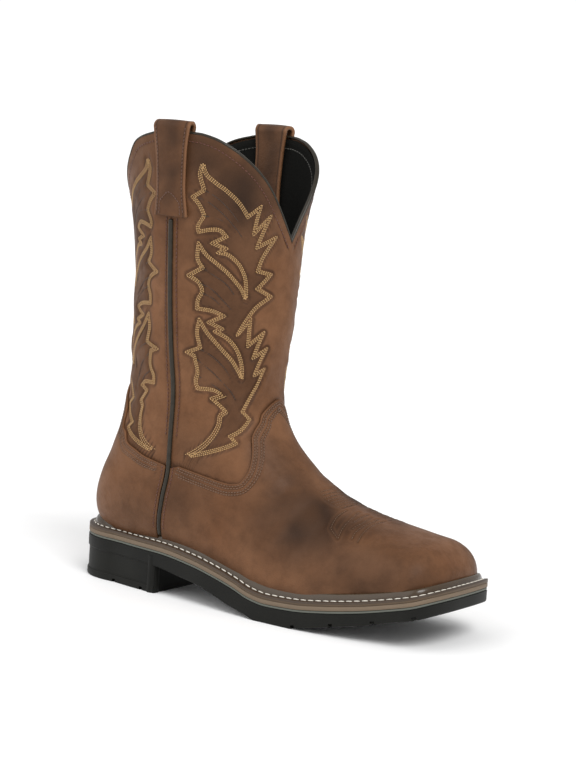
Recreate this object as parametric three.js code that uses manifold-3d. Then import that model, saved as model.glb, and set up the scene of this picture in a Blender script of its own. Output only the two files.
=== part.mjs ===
// A right western work boot: pull-on, tall stitched shaft, broad square toe, rubber sole with a heel.
// Millimetres, +Z up, toe along +X, outer (lateral) side along -Y, standing on its heel and ball.

import * as THREE from 'three';
import { mergeVertices } from 'three/addons/utils/BufferGeometryUtils.js';
import Module from 'manifold-3d';

const wasm = await Module();
wasm.setup();

// Main sizes
const SOLE_LENGTH = 306;
const BALL_WIDTH = 103;
const COLLAR_HEIGHT = 320;
const HEEL_HEIGHT = 36.5;
const TOE_SPRING = 25;

// Leather and clearances
const GAP = 0.3;
const UPPER_WALL = 2.4;
const OVERLAY_THICKNESS = 1.6;
const PIPING_WIDTH = 3.2;
const PIPING_HEIGHT = 2.3;
const SEAM_ALLOWANCE = 0.6;
const BINDING_WIDTH = 3.6;
const BINDING_HEIGHT = 2.2;
const STRAP_THICKNESS = 2.6;
const STRAP_DROP = 57;
const STRAP_RISE = 6.5;
const STRAP_CENTRE = 90;
const STRAP_HALF_WIDTH = 14;

// Sole stack, from the welt down
const WELT_THICKNESS = 2.7;
const WELT_BEAD = 5.2;
const FEATHER_INSET = 7;
const MIDSOLE_THICKNESS = 2.7;
const MID_LAYER_THICKNESS = 1.4;
const INSOLE_THICKNESS = 3;
const RUBBER_THICKNESS = 9;
const HEEL_BREAST = 81;
const HEEL_STEP = 0.7;
const HEEL_TREAD = 5;
const HEEL_COLUMN = 4.2;
const LUG_DEPTH = 2.4;
const LUG_GROOVE = 3;

// Mesh fineness
const AROUND = 36;
const CAP_ROWS = 6;
const FOOT_ROWS = 10;
const LEG_ROWS = 7;
const ZONE_ROWS = 5;
const ZONE_DEPTH = 5;

// Sections of the upper from toe to collar, each a closed ring in a plane that fans round the instep.
// lowX, highX: share of SOLE_LENGTH from the heel; lowZ, highZ: share of COLLAR_HEIGHT
// lateral, medial, lowY, highY: half-widths and centre, share of BALL_WIDTH; widest: share of the ring's height
// roundTop, roundLow: exponents of the ring's curve
const SECTION_COLUMNS = [
  'lowX', 'lowZ', 'highX', 'highZ', 'lateral', 'medial', 'lowY', 'highY', 'widest', 'roundTop', 'roundLow',
];
const SECTIONS = [
  [0.975, 0.062, 0.975, 0.187, 0.395, 0.398, 0.044, 0.044, 0.38, 2.6, 3.2],
  [0.931, 0.056, 0.931, 0.198, 0.423, 0.401, 0.044, 0.044, 0.38, 2.6, 3.2],
  [0.882, 0.047, 0.876, 0.207, 0.430, 0.406, 0.044, 0.044, 0.37, 2.5, 3.2],
  [0.817, 0.037, 0.804, 0.218, 0.443, 0.414, 0.044, 0.044, 0.34, 2.4, 3.2],
  [0.732, 0.028, 0.722, 0.234, 0.460, 0.413, 0.010, 0.049, 0.30, 2.2, 3.0],
  [0.641, 0.025, 0.637, 0.264, 0.458, 0.371, 0.000, 0.049, 0.28, 2.1, 3.0],
  [0.542, 0.031, 0.552, 0.324, 0.448, 0.323, 0.000, 0.039, 0.27, 2.0, 2.8],
  [0.438, 0.044, 0.490, 0.400, 0.430, 0.291, 0.000, 0.029, 0.30, 2.0, 2.7],
  [0.327, 0.062, 0.478, 0.475, 0.414, 0.303, 0.000, 0.019, 0.34, 2.0, 2.7],
  [0.216, 0.075, 0.486, 0.531, 0.412, 0.347, 0.000, 0.010, 0.38, 2.0, 2.7],
  [0.088, 0.094, 0.496, 0.581, 0.418, 0.386, 0.000, 0.000, 0.42, 2.0, 2.7],
  [0.027, 0.150, 0.501, 0.625, 0.417, 0.408, 0.000, 0.000, 0.45, 2.0, 2.5],
  [0.048, 0.237, 0.501, 0.662, 0.424, 0.424, 0.000, 0.000, 0.47, 2.0, 2.3],
  [0.087, 0.331, 0.499, 0.700, 0.450, 0.450, 0.000, 0.000, 0.49, 2.0, 2.2],
  [0.105, 0.431, 0.497, 0.741, 0.483, 0.483, 0.000, 0.000, 0.50, 2.0, 2.2],
  [0.107, 0.531, 0.496, 0.784, 0.511, 0.511, 0.000, 0.000, 0.50, 2.0, 2.2],
  [0.105, 0.637, 0.499, 0.831, 0.533, 0.533, 0.000, 0.000, 0.50, 2.0, 2.1],
  [0.098, 0.750, 0.510, 0.884, 0.553, 0.553, 0.000, 0.000, 0.50, 2.0, 2.1],
  [0.063, 0.875, 0.528, 0.947, 0.575, 0.575, 0.000, 0.000, 0.50, 2.0, 2.0],
  [0.013, 1.006, 0.549, 1.012, 0.593, 0.593, 0.000, 0.000, 0.50, 2.0, 2.0],
];
const ANKLE_ROW = 11;
const TOP_ROW = SECTIONS.length - 1;

// Toe cap: the rings close between these shares of the length, towards a point at this share of the height
const CAP_START = 0.902;
const CAP_END = 0.9755;
const CAP_POWER = 2.4;
const CAP_HEIGHT = 0.116;
const CAP_FIRST_ROW = 3;

// Height of the collar's rim, share of COLLAR_HEIGHT, by angle round the shaft from the front
const RIM_ANGLES = [0, 19, 34, 47, 57, 66, 74, 90, 105, 115, 126, 136, 150, 165, 180];
const RIM_SHARES = [
  0.776, 0.853, 0.908, 0.946, 0.970, 0.986, 0.993, 0.995, 0.984, 0.970, 0.936, 0.906, 0.862, 0.823, 0.806,
];

// Scalloped top edge of the vamp, as the section row by angle from the front
const VAMP_ANGLES = [0, 16, 26, 33, 40, 50, 61, 71, 82, 88, 110, 140, 180];
const VAMP_ROWS = [7.55, 7.48, 7.43, 7.23, 7.03, 6.76, 6.93, 7.50, 8.56, 9.56, 10.1, 10.2, 10.2];

// Top edge of the counter, as the section row by angle from the front
const COUNTER_ANGLES = [0, 60, 88, 92, 105, 126, 133, 150, 180];
const COUNTER_ROWS = [9.1, 9.3, 9.6, 10.3, 11.3, 12.5, 13.1, 13.35, 13.6];
const COUNTER_FIRST_ROW = 7.4;
const VAMP_JOIN = 0.7;

// Side seam's distance from the heel by height, shares of SOLE_LENGTH and COLLAR_HEIGHT
const SEAM_HEIGHTS = [0, 0.14, 0.21, 0.285, 1.1];
const SEAM_SHARES = [0.262, 0.268, 0.280, 0.294, 0.294];

// Plan of the sole: half-widths, share of BALL_WIDTH, by share of SOLE_LENGTH; rounded at both ends
const PLAN_STATIONS = [0.05, 0.114, 0.203, 0.327, 0.458, 0.588, 0.703, 0.817, 0.922];
const PLAN_LATERAL = [0.324, 0.324, 0.364, 0.416, 0.465, 0.500, 0.506, 0.486, 0.442];
const PLAN_MEDIAL = [0.320, 0.320, 0.335, 0.316, 0.335, 0.408, 0.481, 0.510, 0.490];
const PLAN_TOE = 0.922;
const PLAN_TOE_POWER = 2.6;
const PLAN_HEEL = 0.118;
const PLAN_HEEL_POWER = 2.2;

// Side line of the welt's top edge: rise over HEEL_HEIGHT's level, by share of SOLE_LENGTH
const WELT_STATIONS = [0, 0.131, 0.275, 0.376, 0.441, 0.507, 0.552, 0.598, 0.667, 0.748, 0.827, 0.902, 0.954, 1, 1.05];
const WELT_SHARES = [
  1.014, 1.0, 0.989, 0.910, 0.811, 0.674, 0.559, 0.510, 0.529, 0.611, 0.723, 0.860, 0.975, 1.107, 1.2,
];

// Underside of shank and forefoot: share of TOE_SPRING by share of SOLE_LENGTH
const UNDER_STATIONS = [
  0, 0.275, 0.340, 0.395, 0.444, 0.493, 0.542, 0.570, 0.664, 0.693, 0.734, 0.791, 0.846, 0.902, 0.964, 1.0, 1.05,
];
const UNDER_SHARES = [
  0.9, 0.76, 0.66, 0.57, 0.416, 0.232, 0.1, 0, 0, 0.08, 0.172, 0.328, 0.472, 0.66, 0.844, 1.0, 1.15,
];
const LUG_STATIONS = [0.676, 0.771, 0.869, 0.960];
const HEEL_LUG_STATIONS = [0.134, 0.225];

// Smooth curve through evenly spaced values, with free ends
function spline(values) {
  const n = values.length;
  const slope = new Array(n).fill(0);
  const diag = new Array(n).fill(0);
  const right = new Array(n).fill(0);
  for (let i = 1; i < n - 1; i += 1) {
    const w = 4 - diag[i - 1];
    diag[i] = 1 / w;
    right[i] = (6 * (values[i + 1] - 2 * values[i] + values[i - 1]) - right[i - 1]) / w;
  }
  for (let i = n - 2; i > 0; i -= 1) {
    slope[i] = right[i] - diag[i] * slope[i + 1];
  }
  return (t) => {
    const i = Math.min(Math.max(Math.floor(t), 0), n - 2);
    const b = t - i;
    const a = 1 - b;
    const bend = ((a * a * a - a) * slope[i] + (b * b * b - b) * slope[i + 1]) / 6;
    return a * values[i] + b * values[i + 1] + bend;
  };
}

// Smooth curve through unevenly spaced points that never overshoots them
function table(xs, ys) {
  const n = xs.length;
  const rise = xs.slice(1).map((x, i) => (ys[i + 1] - ys[i]) / (x - xs[i]));
  const tangent = ys.map((y, i) => {
    if (i === 0) return rise[0];
    if (i === n - 1) return rise[n - 2];
    if (rise[i - 1] * rise[i] <= 0) return 0;
    const before = xs[i] - xs[i - 1];
    const after = xs[i + 1] - xs[i];
    const sum = 3 * (before + after);
    return sum / ((2 * after + before) / rise[i - 1] + (after + 2 * before) / rise[i]);
  });
  return (x) => {
    if (x <= xs[0]) return ys[0];
    if (x >= xs[n - 1]) return ys[n - 1];
    let i = 0;
    while (x > xs[i + 1]) i += 1;
    const h = xs[i + 1] - xs[i];
    const t = (x - xs[i]) / h;
    const t2 = t * t;
    const t3 = t2 * t;
    const ends = (2 * t3 - 3 * t2 + 1) * ys[i] + (3 * t2 - 2 * t3) * ys[i + 1];
    return ends + h * ((t3 - 2 * t2 + t) * tangent[i] + (t3 - t2) * tangent[i + 1]);
  };
}

// Rounded end: 1 up to start, then falling to 0 at end along a superellipse
function endCap(x, start, end, power) {
  const t = Math.min(Math.max((x - start) / (end - start), 0), 1);
  return (1 - t ** power) ** (1 / power);
}

const column = {};
SECTION_COLUMNS.forEach((name, i) => {
  column[name] = spline(SECTIONS.map((row) => row[i]));
});

// Point of the boot's outer form at ring angle u (0 front, +90 lateral) and section row v
function formPoint(u, v) {
  const c = Math.cos(u);
  const s = Math.sin(u);
  const power = 2 / (c >= 0 ? column.roundTop(v) : column.roundLow(v));
  const widest = column.widest(v);
  const up = Math.abs(c) ** power;
  const across = Math.abs(s) ** power;
  const h = c >= 0 ? widest + (1 - widest) * up : widest * (1 - up);
  const half = (s >= 0 ? column.lateral(v) : column.medial(v)) * BALL_WIDTH;
  const lowX = column.lowX(v);
  const cap = v < CAP_FIRST_ROW ? endCap(lowX, CAP_START, CAP_END, CAP_POWER) : 1;
  const x = (lowX * (1 - h) + column.highX(v) * h) * SOLE_LENGTH;
  const middle = (column.lowY(v) * (1 - h) + column.highY(v) * h) * BALL_WIDTH;
  const y = middle - Math.sign(s) * half * across * cap;
  const z = column.lowZ(v) * (1 - h) + column.highZ(v) * h;
  return new THREE.Vector3(x, y, (CAP_HEIGHT + (z - CAP_HEIGHT) * cap) * COLLAR_HEIGHT);
}

// Outward normal of the outer form
function formNormal(u, v) {
  const du = 0.02;
  const dv = 0.02;
  const along = formPoint(u, v + dv).sub(formPoint(u, v - dv));
  const around = formPoint(u + du, v).sub(formPoint(u - du, v));
  return along.cross(around).normalize();
}

function offsetPoint(u, v, offset) {
  return formPoint(u, v).addScaledVector(formNormal(u, v), offset);
}

// Row of the cap that lies at a share of the length
function capRow(share) {
  let low = 0;
  let high = CAP_FIRST_ROW;
  for (let i = 0; i < 40; i += 1) {
    const mid = (low + high) / 2;
    if (column.lowX(mid) > share) low = mid;
    else high = mid;
  }
  return (low + high) / 2;
}

const capRows = [];
for (let i = 1; i <= CAP_ROWS; i += 1) {
  const turn = Math.cos(((i - 0.35) / CAP_ROWS) * (Math.PI / 2)) ** (2 / CAP_POWER);
  capRows.push(capRow(CAP_START + (CAP_END - CAP_START) * Math.max(turn, 0)));
}
const capEnd = capRow(CAP_START);
const toePoint = new THREE.Vector3(
  CAP_END * SOLE_LENGTH,
  SECTIONS[0][6] * BALL_WIDTH,
  CAP_HEIGHT * COLLAR_HEIGHT,
);

// Row at which the ring angle u reaches a height
function rowAtHeight(u, z) {
  let low = ANKLE_ROW;
  let high = TOP_ROW;
  for (let i = 0; i < 40; i += 1) {
    const mid = (low + high) / 2;
    if (formPoint(u, mid).z < z) low = mid;
    else high = mid;
  }
  return (low + high) / 2;
}

const degrees = (u) => {
  const turn = Math.abs(THREE.MathUtils.euclideanModulo(u + Math.PI, 2 * Math.PI) - Math.PI);
  return THREE.MathUtils.radToDeg(turn);
};
const rimShare = table(RIM_ANGLES, RIM_SHARES);
const rimRow = (u) => rowAtHeight(u, rimShare(degrees(u)) * COLLAR_HEIGHT);
const vampTable = table(VAMP_ANGLES, VAMP_ROWS);
const counterTable = table(COUNTER_ANGLES, COUNTER_ROWS);

function geometryFrom(points, faces) {
  const geometry = new THREE.BufferGeometry();
  geometry.setAttribute('position', new THREE.Float32BufferAttribute(points.flatMap((p) => [p.x, p.y, p.z]), 3));
  geometry.setIndex(faces);
  return geometry;
}

// Section rows of one column of the mesh, the same for every layer of the boot
function formRows(u) {
  const rows = [...capRows];
  for (let i = 0; i <= FOOT_ROWS; i += 1) {
    rows.push(capEnd + ((ANKLE_ROW - capEnd) * i) / FOOT_ROWS);
  }
  const rim = rimRow(u);
  for (let i = 1; i <= LEG_ROWS; i += 1) {
    rows.push(ANKLE_ROW + ((rim - ANKLE_ROW) * i) / LEG_ROWS);
  }
  return rows;
}

// Grid of points at one offset: rows of AROUND points each
function skin(offset, rowsAt) {
  const columns = [];
  for (let j = 0; j < AROUND; j += 1) {
    const u = (j / AROUND) * 2 * Math.PI;
    columns.push(rowsAt(u).map((v) => offsetPoint(u, v, offset)));
  }
  return columns[0].map((_, i) => columns.map((points) => points[i]));
}

// Faces of a grid of rows, counted from a first point
function skinFaces(rows, base, inward) {
  const faces = [];
  const at = (i, j) => base + i * AROUND + (j % AROUND);
  for (let i = 0; i < rows - 1; i += 1) {
    for (let j = 0; j < AROUND; j += 1) {
      const [a, b, c, d] = [at(i, j), at(i + 1, j), at(i + 1, j + 1), at(i, j + 1)];
      if (inward) faces.push(a, c, b, a, d, c);
      else faces.push(a, b, c, a, c, d);
    }
  }
  return faces;
}

const toeTip = (offset) => toePoint.clone().add(new THREE.Vector3(offset, 0, 0));

// Wall between two offsets of the form, closed at the toe and open at the rim
function wall(inner, outer) {
  const outside = skin(outer, formRows);
  const inside = skin(inner, formRows);
  const count = outside.length;
  const size = count * AROUND;
  const points = [...outside.flat(), ...inside.flat(), toeTip(outer), toeTip(inner)];
  const faces = [...skinFaces(count, 0, false), ...skinFaces(count, size, true)];
  const rim = (count - 1) * AROUND;
  for (let j = 0; j < AROUND; j += 1) {
    const next = (j + 1) % AROUND;
    faces.push(2 * size, j, next, 2 * size + 1, size + next, size + j);
    faces.push(rim + j, size + rim + j, size + rim + next, rim + j, size + rim + next, rim + next);
  }
  return geometryFrom(points, faces);
}

// Everything inside one offset of the form, closed at toe and rim
function filled(offset) {
  const grid = skin(offset, formRows);
  const rim = (grid.length - 1) * AROUND;
  const toe = grid.length * AROUND;
  const middle = grid[grid.length - 1]
    .reduce((sum, p) => sum.add(p), new THREE.Vector3())
    .divideScalar(AROUND);
  const faces = skinFaces(grid.length, 0, false);
  for (let j = 0; j < AROUND; j += 1) {
    const next = (j + 1) % AROUND;
    faces.push(toe, j, next, toe + 1, rim + next, rim + j);
  }
  return geometryFrom([...grid.flat(), toeTip(offset), middle], faces);
}

// Thick zone round the form between two edge rows, for cutting a layer to its outline
function zone(firstRow, edgeRow) {
  const deep = -ZONE_DEPTH;
  const rowsAt = (u) => {
    const rows = [];
    for (let i = 0; i <= ZONE_ROWS; i += 1) {
      rows.push(firstRow + ((edgeRow(u) - firstRow) * i) / ZONE_ROWS);
    }
    return rows;
  };
  const outside = skin(ZONE_DEPTH, rowsAt);
  const inside = skin(deep, rowsAt);
  const count = outside.length;
  const size = count * AROUND;
  const faces = [...skinFaces(count, 0, false), ...skinFaces(count, size, true)];
  const rim = (count - 1) * AROUND;
  for (let j = 0; j < AROUND; j += 1) {
    const next = (j + 1) % AROUND;
    faces.push(j, next, size + next, j, size + next, size + j);
    faces.push(rim + j, size + rim + j, size + rim + next, rim + j, size + rim + next, rim + next);
  }
  return geometryFrom([...outside.flat(), ...inside.flat()], faces);
}

// Solids for joining and cutting
function solid(geometry) {
  const bare = geometry.clone();
  bare.deleteAttribute('normal');
  bare.deleteAttribute('uv');
  const merged = mergeVertices(bare, 1e-4);
  const index = merged.index.array;
  const triangles = [];
  for (let i = 0; i < index.length; i += 3) {
    const [a, b, c] = [index[i], index[i + 1], index[i + 2]];
    if (a !== b && b !== c && c !== a) triangles.push(a, b, c);
  }
  return new wasm.Manifold(new wasm.Mesh({
    numProp: 3,
    vertProperties: new Float32Array(merged.attributes.position.array),
    triVerts: new Uint32Array(triangles),
  }));
}

function geometryOf(body) {
  const mesh = body.getMesh();
  const geometry = new THREE.BufferGeometry();
  geometry.setAttribute('position', new THREE.BufferAttribute(new Float32Array(mesh.vertProperties), 3));
  geometry.setIndex(new THREE.BufferAttribute(new Uint32Array(mesh.triVerts), 1));
  return geometry;
}

// Lines of the sole
const reach = (share) => share * SOLE_LENGTH;
const planLateral = table(PLAN_STATIONS, PLAN_LATERAL);
const planMedial = table(PLAN_STATIONS, PLAN_MEDIAL);
const planEnds = (share) => endCap(share, PLAN_TOE, 1, PLAN_TOE_POWER) * endCap(-share, -PLAN_HEEL, 0, PLAN_HEEL_POWER);
const weltShare = table(WELT_STATIONS, WELT_SHARES);
const underShare = table(UNDER_STATIONS, UNDER_SHARES);
const weltTop = (x) => weltShare(x / SOLE_LENGTH) * HEEL_HEIGHT;
const under = (x) => underShare(x / SOLE_LENGTH) * TOE_SPRING;
const midsoleTop = (x) => weltTop(x) - WELT_THICKNESS - GAP;
const midLayerTop = (x) => midsoleTop(x) - MIDSOLE_THICKNESS - GAP;
const rubberTop = (x) => midLayerTop(x) - MID_LAYER_THICKNESS - GAP;
const seamTable = table(SEAM_HEIGHTS, SEAM_SHARES);
const seamX = (z) => seamTable(z / COLLAR_HEIGHT) * SOLE_LENGTH;

// Closed outline of the sole in plan, counted from the heel's back along the lateral side
function planPoints(steps) {
  const shares = [];
  for (let i = 0; i <= steps; i += 1) {
    const t = i / steps;
    const ends = 0.5 - 0.5 * Math.cos(Math.PI * t);
    shares.push(ends * 0.8 + t * 0.2);
  }
  const lateral = shares.map((s) => [reach(s), -planLateral(s) * planEnds(s) * BALL_WIDTH]);
  const medial = shares.map((s) => [reach(s), planMedial(s) * planEnds(s) * BALL_WIDTH]);
  return [...lateral, ...medial.slice(1, -1).reverse()];
}

// The outline moved inwards by an inset
function insetPoints(points, inset) {
  const n = points.length;
  return points.map((p, i) => {
    const a = points[(i + n - 1) % n];
    const b = points[(i + 1) % n];
    const direction = new THREE.Vector2(b[0] - a[0], b[1] - a[1]).normalize();
    return [p[0] - direction.y * inset, p[1] + direction.x * inset];
  });
}

function prism(points, low, high) {
  const shape = new THREE.Shape(points.map(([x, y]) => new THREE.Vector2(x, y)));
  const geometry = new THREE.ExtrudeGeometry(shape, { depth: high - low, bevelEnabled: false });
  return solid(geometry.translate(0, 0, low));
}

// Plate across the boot whose side view lies between two lines
function band(lowLine, highLine, from, to, steps) {
  const xs = Array.from({ length: steps + 1 }, (_, i) => from + ((to - from) * i) / steps);
  const outline = [
    ...xs.map((x) => new THREE.Vector2(x, lowLine(x))),
    ...xs.slice().reverse().map((x) => new THREE.Vector2(x, highLine(x))),
  ];
  const across = 2 * BALL_WIDTH;
  const geometry = new THREE.ExtrudeGeometry(new THREE.Shape(outline), { depth: across, bevelEnabled: false });
  return solid(geometry.rotateX(Math.PI / 2).translate(0, across / 2, 0));
}

const PLAN_STEPS = 24;
const BAND_STEPS = 24;
const RUBBER_STEPS = 36;
const before = -0.03 * SOLE_LENGTH;
const beyond = 1.03 * SOLE_LENGTH;
const plan = planPoints(PLAN_STEPS);
const planPrism = prism(plan, -COLLAR_HEIGHT * 0.1, COLLAR_HEIGHT * 0.4);

// Everything of the foot below the feather line is cut away
const featherLine = (x) => midsoleTop(x) + GAP;
const belowFeather = band(() => -COLLAR_HEIGHT * 0.2, featherLine, before, beyond, BAND_STEPS);

// Halves of the foot in front of and behind the side seam
const seamHeights = [-0.3, 0.1, 0.14, 0.18, 0.21, 0.25, 0.285, 1.1];
function seamHalf(offset, edge) {
  const outline = seamHeights.map((h) => new THREE.Vector2(seamX(h * COLLAR_HEIGHT) + offset, h * COLLAR_HEIGHT));
  outline.push(new THREE.Vector2(edge, 1.1 * COLLAR_HEIGHT), new THREE.Vector2(edge, -0.3 * COLLAR_HEIGHT));
  const across = 2 * BALL_WIDTH;
  const geometry = new THREE.ExtrudeGeometry(new THREE.Shape(outline), { depth: across, bevelEnabled: false });
  return solid(geometry.rotateX(Math.PI / 2).translate(0, across / 2, 0));
}

// Leather layers, as offsets from the outer form
const upperOuter = -1;
const upperInner = upperOuter - UPPER_WALL;
const overlayInner = upperOuter + GAP;
const overlayOuter = overlayInner + OVERLAY_THICKNESS;
const seamClear = PIPING_WIDTH / 2 + SEAM_ALLOWANCE;

const upper = solid(wall(upperInner, upperOuter)).subtract(belowFeather);

// Outer leather of the foot: the vamp covers the toe, the counter the heel, and both stop at the seam
const core = solid(filled(overlayInner));
const overlay = solid(filled(overlayOuter)).subtract(core).subtract(belowFeather);
const vampBack = solid(zone(CAP_FIRST_ROW + 1, (u) => vampTable(degrees(u))));
const toeHalf = band(() => -COLLAR_HEIGHT * 0.2, () => COLLAR_HEIGHT, VAMP_JOIN * SOLE_LENGTH, beyond, 1);
const vamp = overlay
  .intersect(vampBack.add(toeHalf))
  .intersect(seamHalf(seamClear, beyond));
const counter = overlay
  .intersect(solid(zone(COUNTER_FIRST_ROW, (u) => counterTable(degrees(u)))))
  .intersect(seamHalf(-seamClear, before * 2));

// Where the form's side crosses a point of the side view
function sideAt(x, z, side) {
  let u = (side * Math.PI) / 2;
  let v = ANKLE_ROW + 3;
  for (let i = 0; i < 30; i += 1) {
    const p = formPoint(u, v);
    const pu = formPoint(u + 1e-3, v).sub(p).multiplyScalar(1e3);
    const pv = formPoint(u, v + 1e-3).sub(p).multiplyScalar(1e3);
    const det = pu.x * pv.z - pv.x * pu.z;
    const dx = x - p.x;
    const dz = z - p.z;
    u += THREE.MathUtils.clamp((dx * pv.z - pv.x * dz) / det, -0.3, 0.3);
    v = THREE.MathUtils.clamp(v + THREE.MathUtils.clamp((pu.x * dz - dx * pu.z) / det, -1, 1), 1, TOP_ROW);
  }
  return [u, v];
}

function sidePoint(x, z, side, offset) {
  const [u, v] = sideAt(x, z, side);
  return offsetPoint(u, v, offset);
}

// Closed loft through rings of equal count, with flat ends
function loft(rings, flip) {
  const n = rings[0].length;
  const points = rings.flat();
  const faces = [];
  for (let i = 0; i < rings.length - 1; i += 1) {
    for (let j = 0; j < n; j += 1) {
      const [a, b] = [i * n + j, i * n + ((j + 1) % n)];
      faces.push(a, b, b + n, a, b + n, a + n);
    }
  }
  const last = (rings.length - 1) * n;
  for (let j = 1; j < n - 1; j += 1) {
    faces.push(0, j + 1, j);
    faces.push(last, last + j, last + j + 1);
  }
  if (flip) {
    for (let i = 0; i < faces.length; i += 3) [faces[i], faces[i + 1]] = [faces[i + 1], faces[i]];
  }
  return geometryFrom(points, faces);
}

// Cord down the side seam, from under the strap to the feather line
const strapLow = COLLAR_HEIGHT - STRAP_DROP;
function piping(side) {
  const low = weltTop(seamX(HEEL_HEIGHT)) + WELT_BEAD + GAP;
  const high = strapLow - 1.5;
  const rings = [];
  const steps = 16;
  for (let i = 0; i <= steps; i += 1) {
    const z = low + ((high - low) * i) / steps;
    const x = seamX(z);
    const half = PIPING_WIDTH / 2;
    const base = upperOuter - PIPING_HEIGHT * 0.2;
    rings.push([
      sidePoint(x - half, z, side, base),
      sidePoint(x - half, z, side, overlayInner + PIPING_HEIGHT * 0.55),
      sidePoint(x - half * 0.5, z, side, overlayInner + PIPING_HEIGHT),
      sidePoint(x + half * 0.5, z, side, overlayInner + PIPING_HEIGHT),
      sidePoint(x + half, z, side, overlayInner + PIPING_HEIGHT * 0.55),
      sidePoint(x + half, z, side, base),
    ]);
  }
  return solid(loft(rings, side < 0)).subtract(belowFeather).subtract(core);
}

// Rolled edge that lies over the collar's rim
function binding() {
  const rings = [];
  const middle = (upperInner + upperOuter) / 2;
  for (let j = 0; j < AROUND; j += 1) {
    const u = (j / AROUND) * 2 * Math.PI;
    const v = rimRow(u);
    const centre = offsetPoint(u, v, middle);
    const outward = formNormal(u, v);
    const ahead = offsetPoint(u + 0.04, rimRow(u + 0.04), middle);
    const behind = offsetPoint(u - 0.04, rimRow(u - 0.04), middle);
    const tangent = ahead.sub(behind).normalize();
    const up = tangent.clone().cross(outward).normalize();
    if (up.z < 0) up.negate();
    const side = up.clone().cross(tangent).normalize();
    if (side.dot(outward) < 0) side.negate();
    const low = GAP + 0.1;
    rings.push([
      centre.clone().addScaledVector(side, -BINDING_WIDTH / 2).addScaledVector(up, low),
      centre.clone().addScaledVector(side, BINDING_WIDTH / 2).addScaledVector(up, low),
      centre.clone().addScaledVector(side, BINDING_WIDTH / 2).addScaledVector(up, low + BINDING_HEIGHT * 0.6),
      centre.clone().addScaledVector(side, BINDING_WIDTH * 0.22).addScaledVector(up, low + BINDING_HEIGHT),
      centre.clone().addScaledVector(side, -BINDING_WIDTH * 0.22).addScaledVector(up, low + BINDING_HEIGHT),
      centre.clone().addScaledVector(side, -BINDING_WIDTH / 2).addScaledVector(up, low + BINDING_HEIGHT * 0.6),
    ]);
  }
  const n = 6;
  const faces = [];
  for (let i = 0; i < rings.length; i += 1) {
    const next = ((i + 1) % rings.length) * n;
    for (let j = 0; j < n; j += 1) {
      const [a, b] = [i * n + j, i * n + ((j + 1) % n)];
      const [c, d] = [next + ((j + 1) % n), next + j];
      faces.push(a, b, c, a, c, d);
    }
  }
  return geometryFrom(rings.flat(), faces);
}

// Pull strap: a folded strip over the side of the collar
const STRAP_LEVELS = [0, 0.35, 0.7, 1];
const STRAP_WAIST = [0.94, 0.82, 0.86, 1];
const strapWidth = table(STRAP_LEVELS, STRAP_WAIST);
function strap(side) {
  const clear = GAP + 0.1;
  const outerLow = upperOuter + clear;
  const innerLow = upperInner - clear;
  const foldZ = COLLAR_HEIGHT + STRAP_RISE - STRAP_THICKNESS - 1.4;
  const levels = 7;
  const path = [];
  for (let i = 0; i <= levels; i += 1) {
    const t = i / levels;
    path.push({ z: strapLow + (foldZ - strapLow) * t, t, low: outerLow + 1.3 * t * t * t, turn: 0 });
  }
  const middle = (outerLow + 1.3 + innerLow - 0.9) / 2;
  const inside = (outerLow + 1.3 - innerLow + 0.9) / 2;
  for (let k = 1; k < 6; k += 1) {
    path.push({ z: foldZ, t: 1, turn: (k / 6) * Math.PI });
  }
  for (let i = levels; i >= 0; i -= 1) {
    const t = i / levels;
    path.push({ z: strapLow + 4 + (foldZ - strapLow - 4) * t, t, low: innerLow - 0.9 * t * t * t, turn: Math.PI });
  }
  const rings = path.map(({ z, t, low, turn }) => {
    const half = STRAP_HALF_WIDTH * strapWidth(t);
    return [-1, -0.5, 0, 0.5, 1].map((k) => {
      const x = STRAP_CENTRE + k * half;
      const rimTop = Math.min(z, 0.985 * COLLAR_HEIGHT);
      const [u, v] = sideAt(x, rimTop, side);
      const normal = formNormal(u, v);
      const surface = formPoint(u, v);
      surface.z += z - rimTop;
      const flat = normal.clone().setZ(0).normalize();
      if (low !== undefined) {
        const grow = turn === 0 ? STRAP_THICKNESS : -STRAP_THICKNESS;
        return [surface.clone().addScaledVector(flat, low), surface.clone().addScaledVector(flat, low + grow)];
      }
      const hub = surface.clone().addScaledVector(flat, middle);
      const ray = flat.clone().multiplyScalar(Math.cos(turn)).add(new THREE.Vector3(0, 0, Math.sin(turn) * 0.75));
      const thick = flat.clone().multiplyScalar(Math.cos(turn)).add(new THREE.Vector3(0, 0, Math.sin(turn)));
      return [
        hub.clone().addScaledVector(ray, inside),
        hub.clone().addScaledVector(ray, inside).addScaledVector(thick, STRAP_THICKNESS),
      ];
    });
  });
  const sections = rings.map((row) => [...row.map((pair) => pair[0]), ...row.map((pair) => pair[1]).reverse()]);
  return loft(sections, side > 0);
}

// Storm welt: a flat strip with a raised bead against the upper
function welt() {
  const profile = [
    [0, -WELT_THICKNESS],
    [0, -0.5],
    [0.5, 0],
    [3.1, 0.9],
    [3.9, 0.8],
    [4.5, WELT_BEAD * 0.62],
    [5.3, WELT_BEAD * 0.95],
    [6.3, WELT_BEAD],
    [FEATHER_INSET + 5, WELT_BEAD * 0.8],
    [FEATHER_INSET + 6, -WELT_THICKNESS],
  ];
  const n = plan.length;
  const loops = profile.map(([inset, rise]) => insetPoints(plan, inset).map(([x, y], i) => (
    new THREE.Vector3(x, y, weltTop(plan[i][0]) + rise)
  )));
  const points = loops.flat();
  const faces = [];
  for (let k = 0; k < loops.length; k += 1) {
    const next = ((k + 1) % loops.length) * n;
    for (let i = 0; i < n; i += 1) {
      const [a, b] = [k * n + i, k * n + ((i + 1) % n)];
      const [c, d] = [next + ((i + 1) % n), next + i];
      faces.push(a, b, c, a, c, d);
    }
  }
  return solid(geometryFrom(points, faces)).subtract(solid(filled(overlayOuter + GAP)));
}

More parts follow.
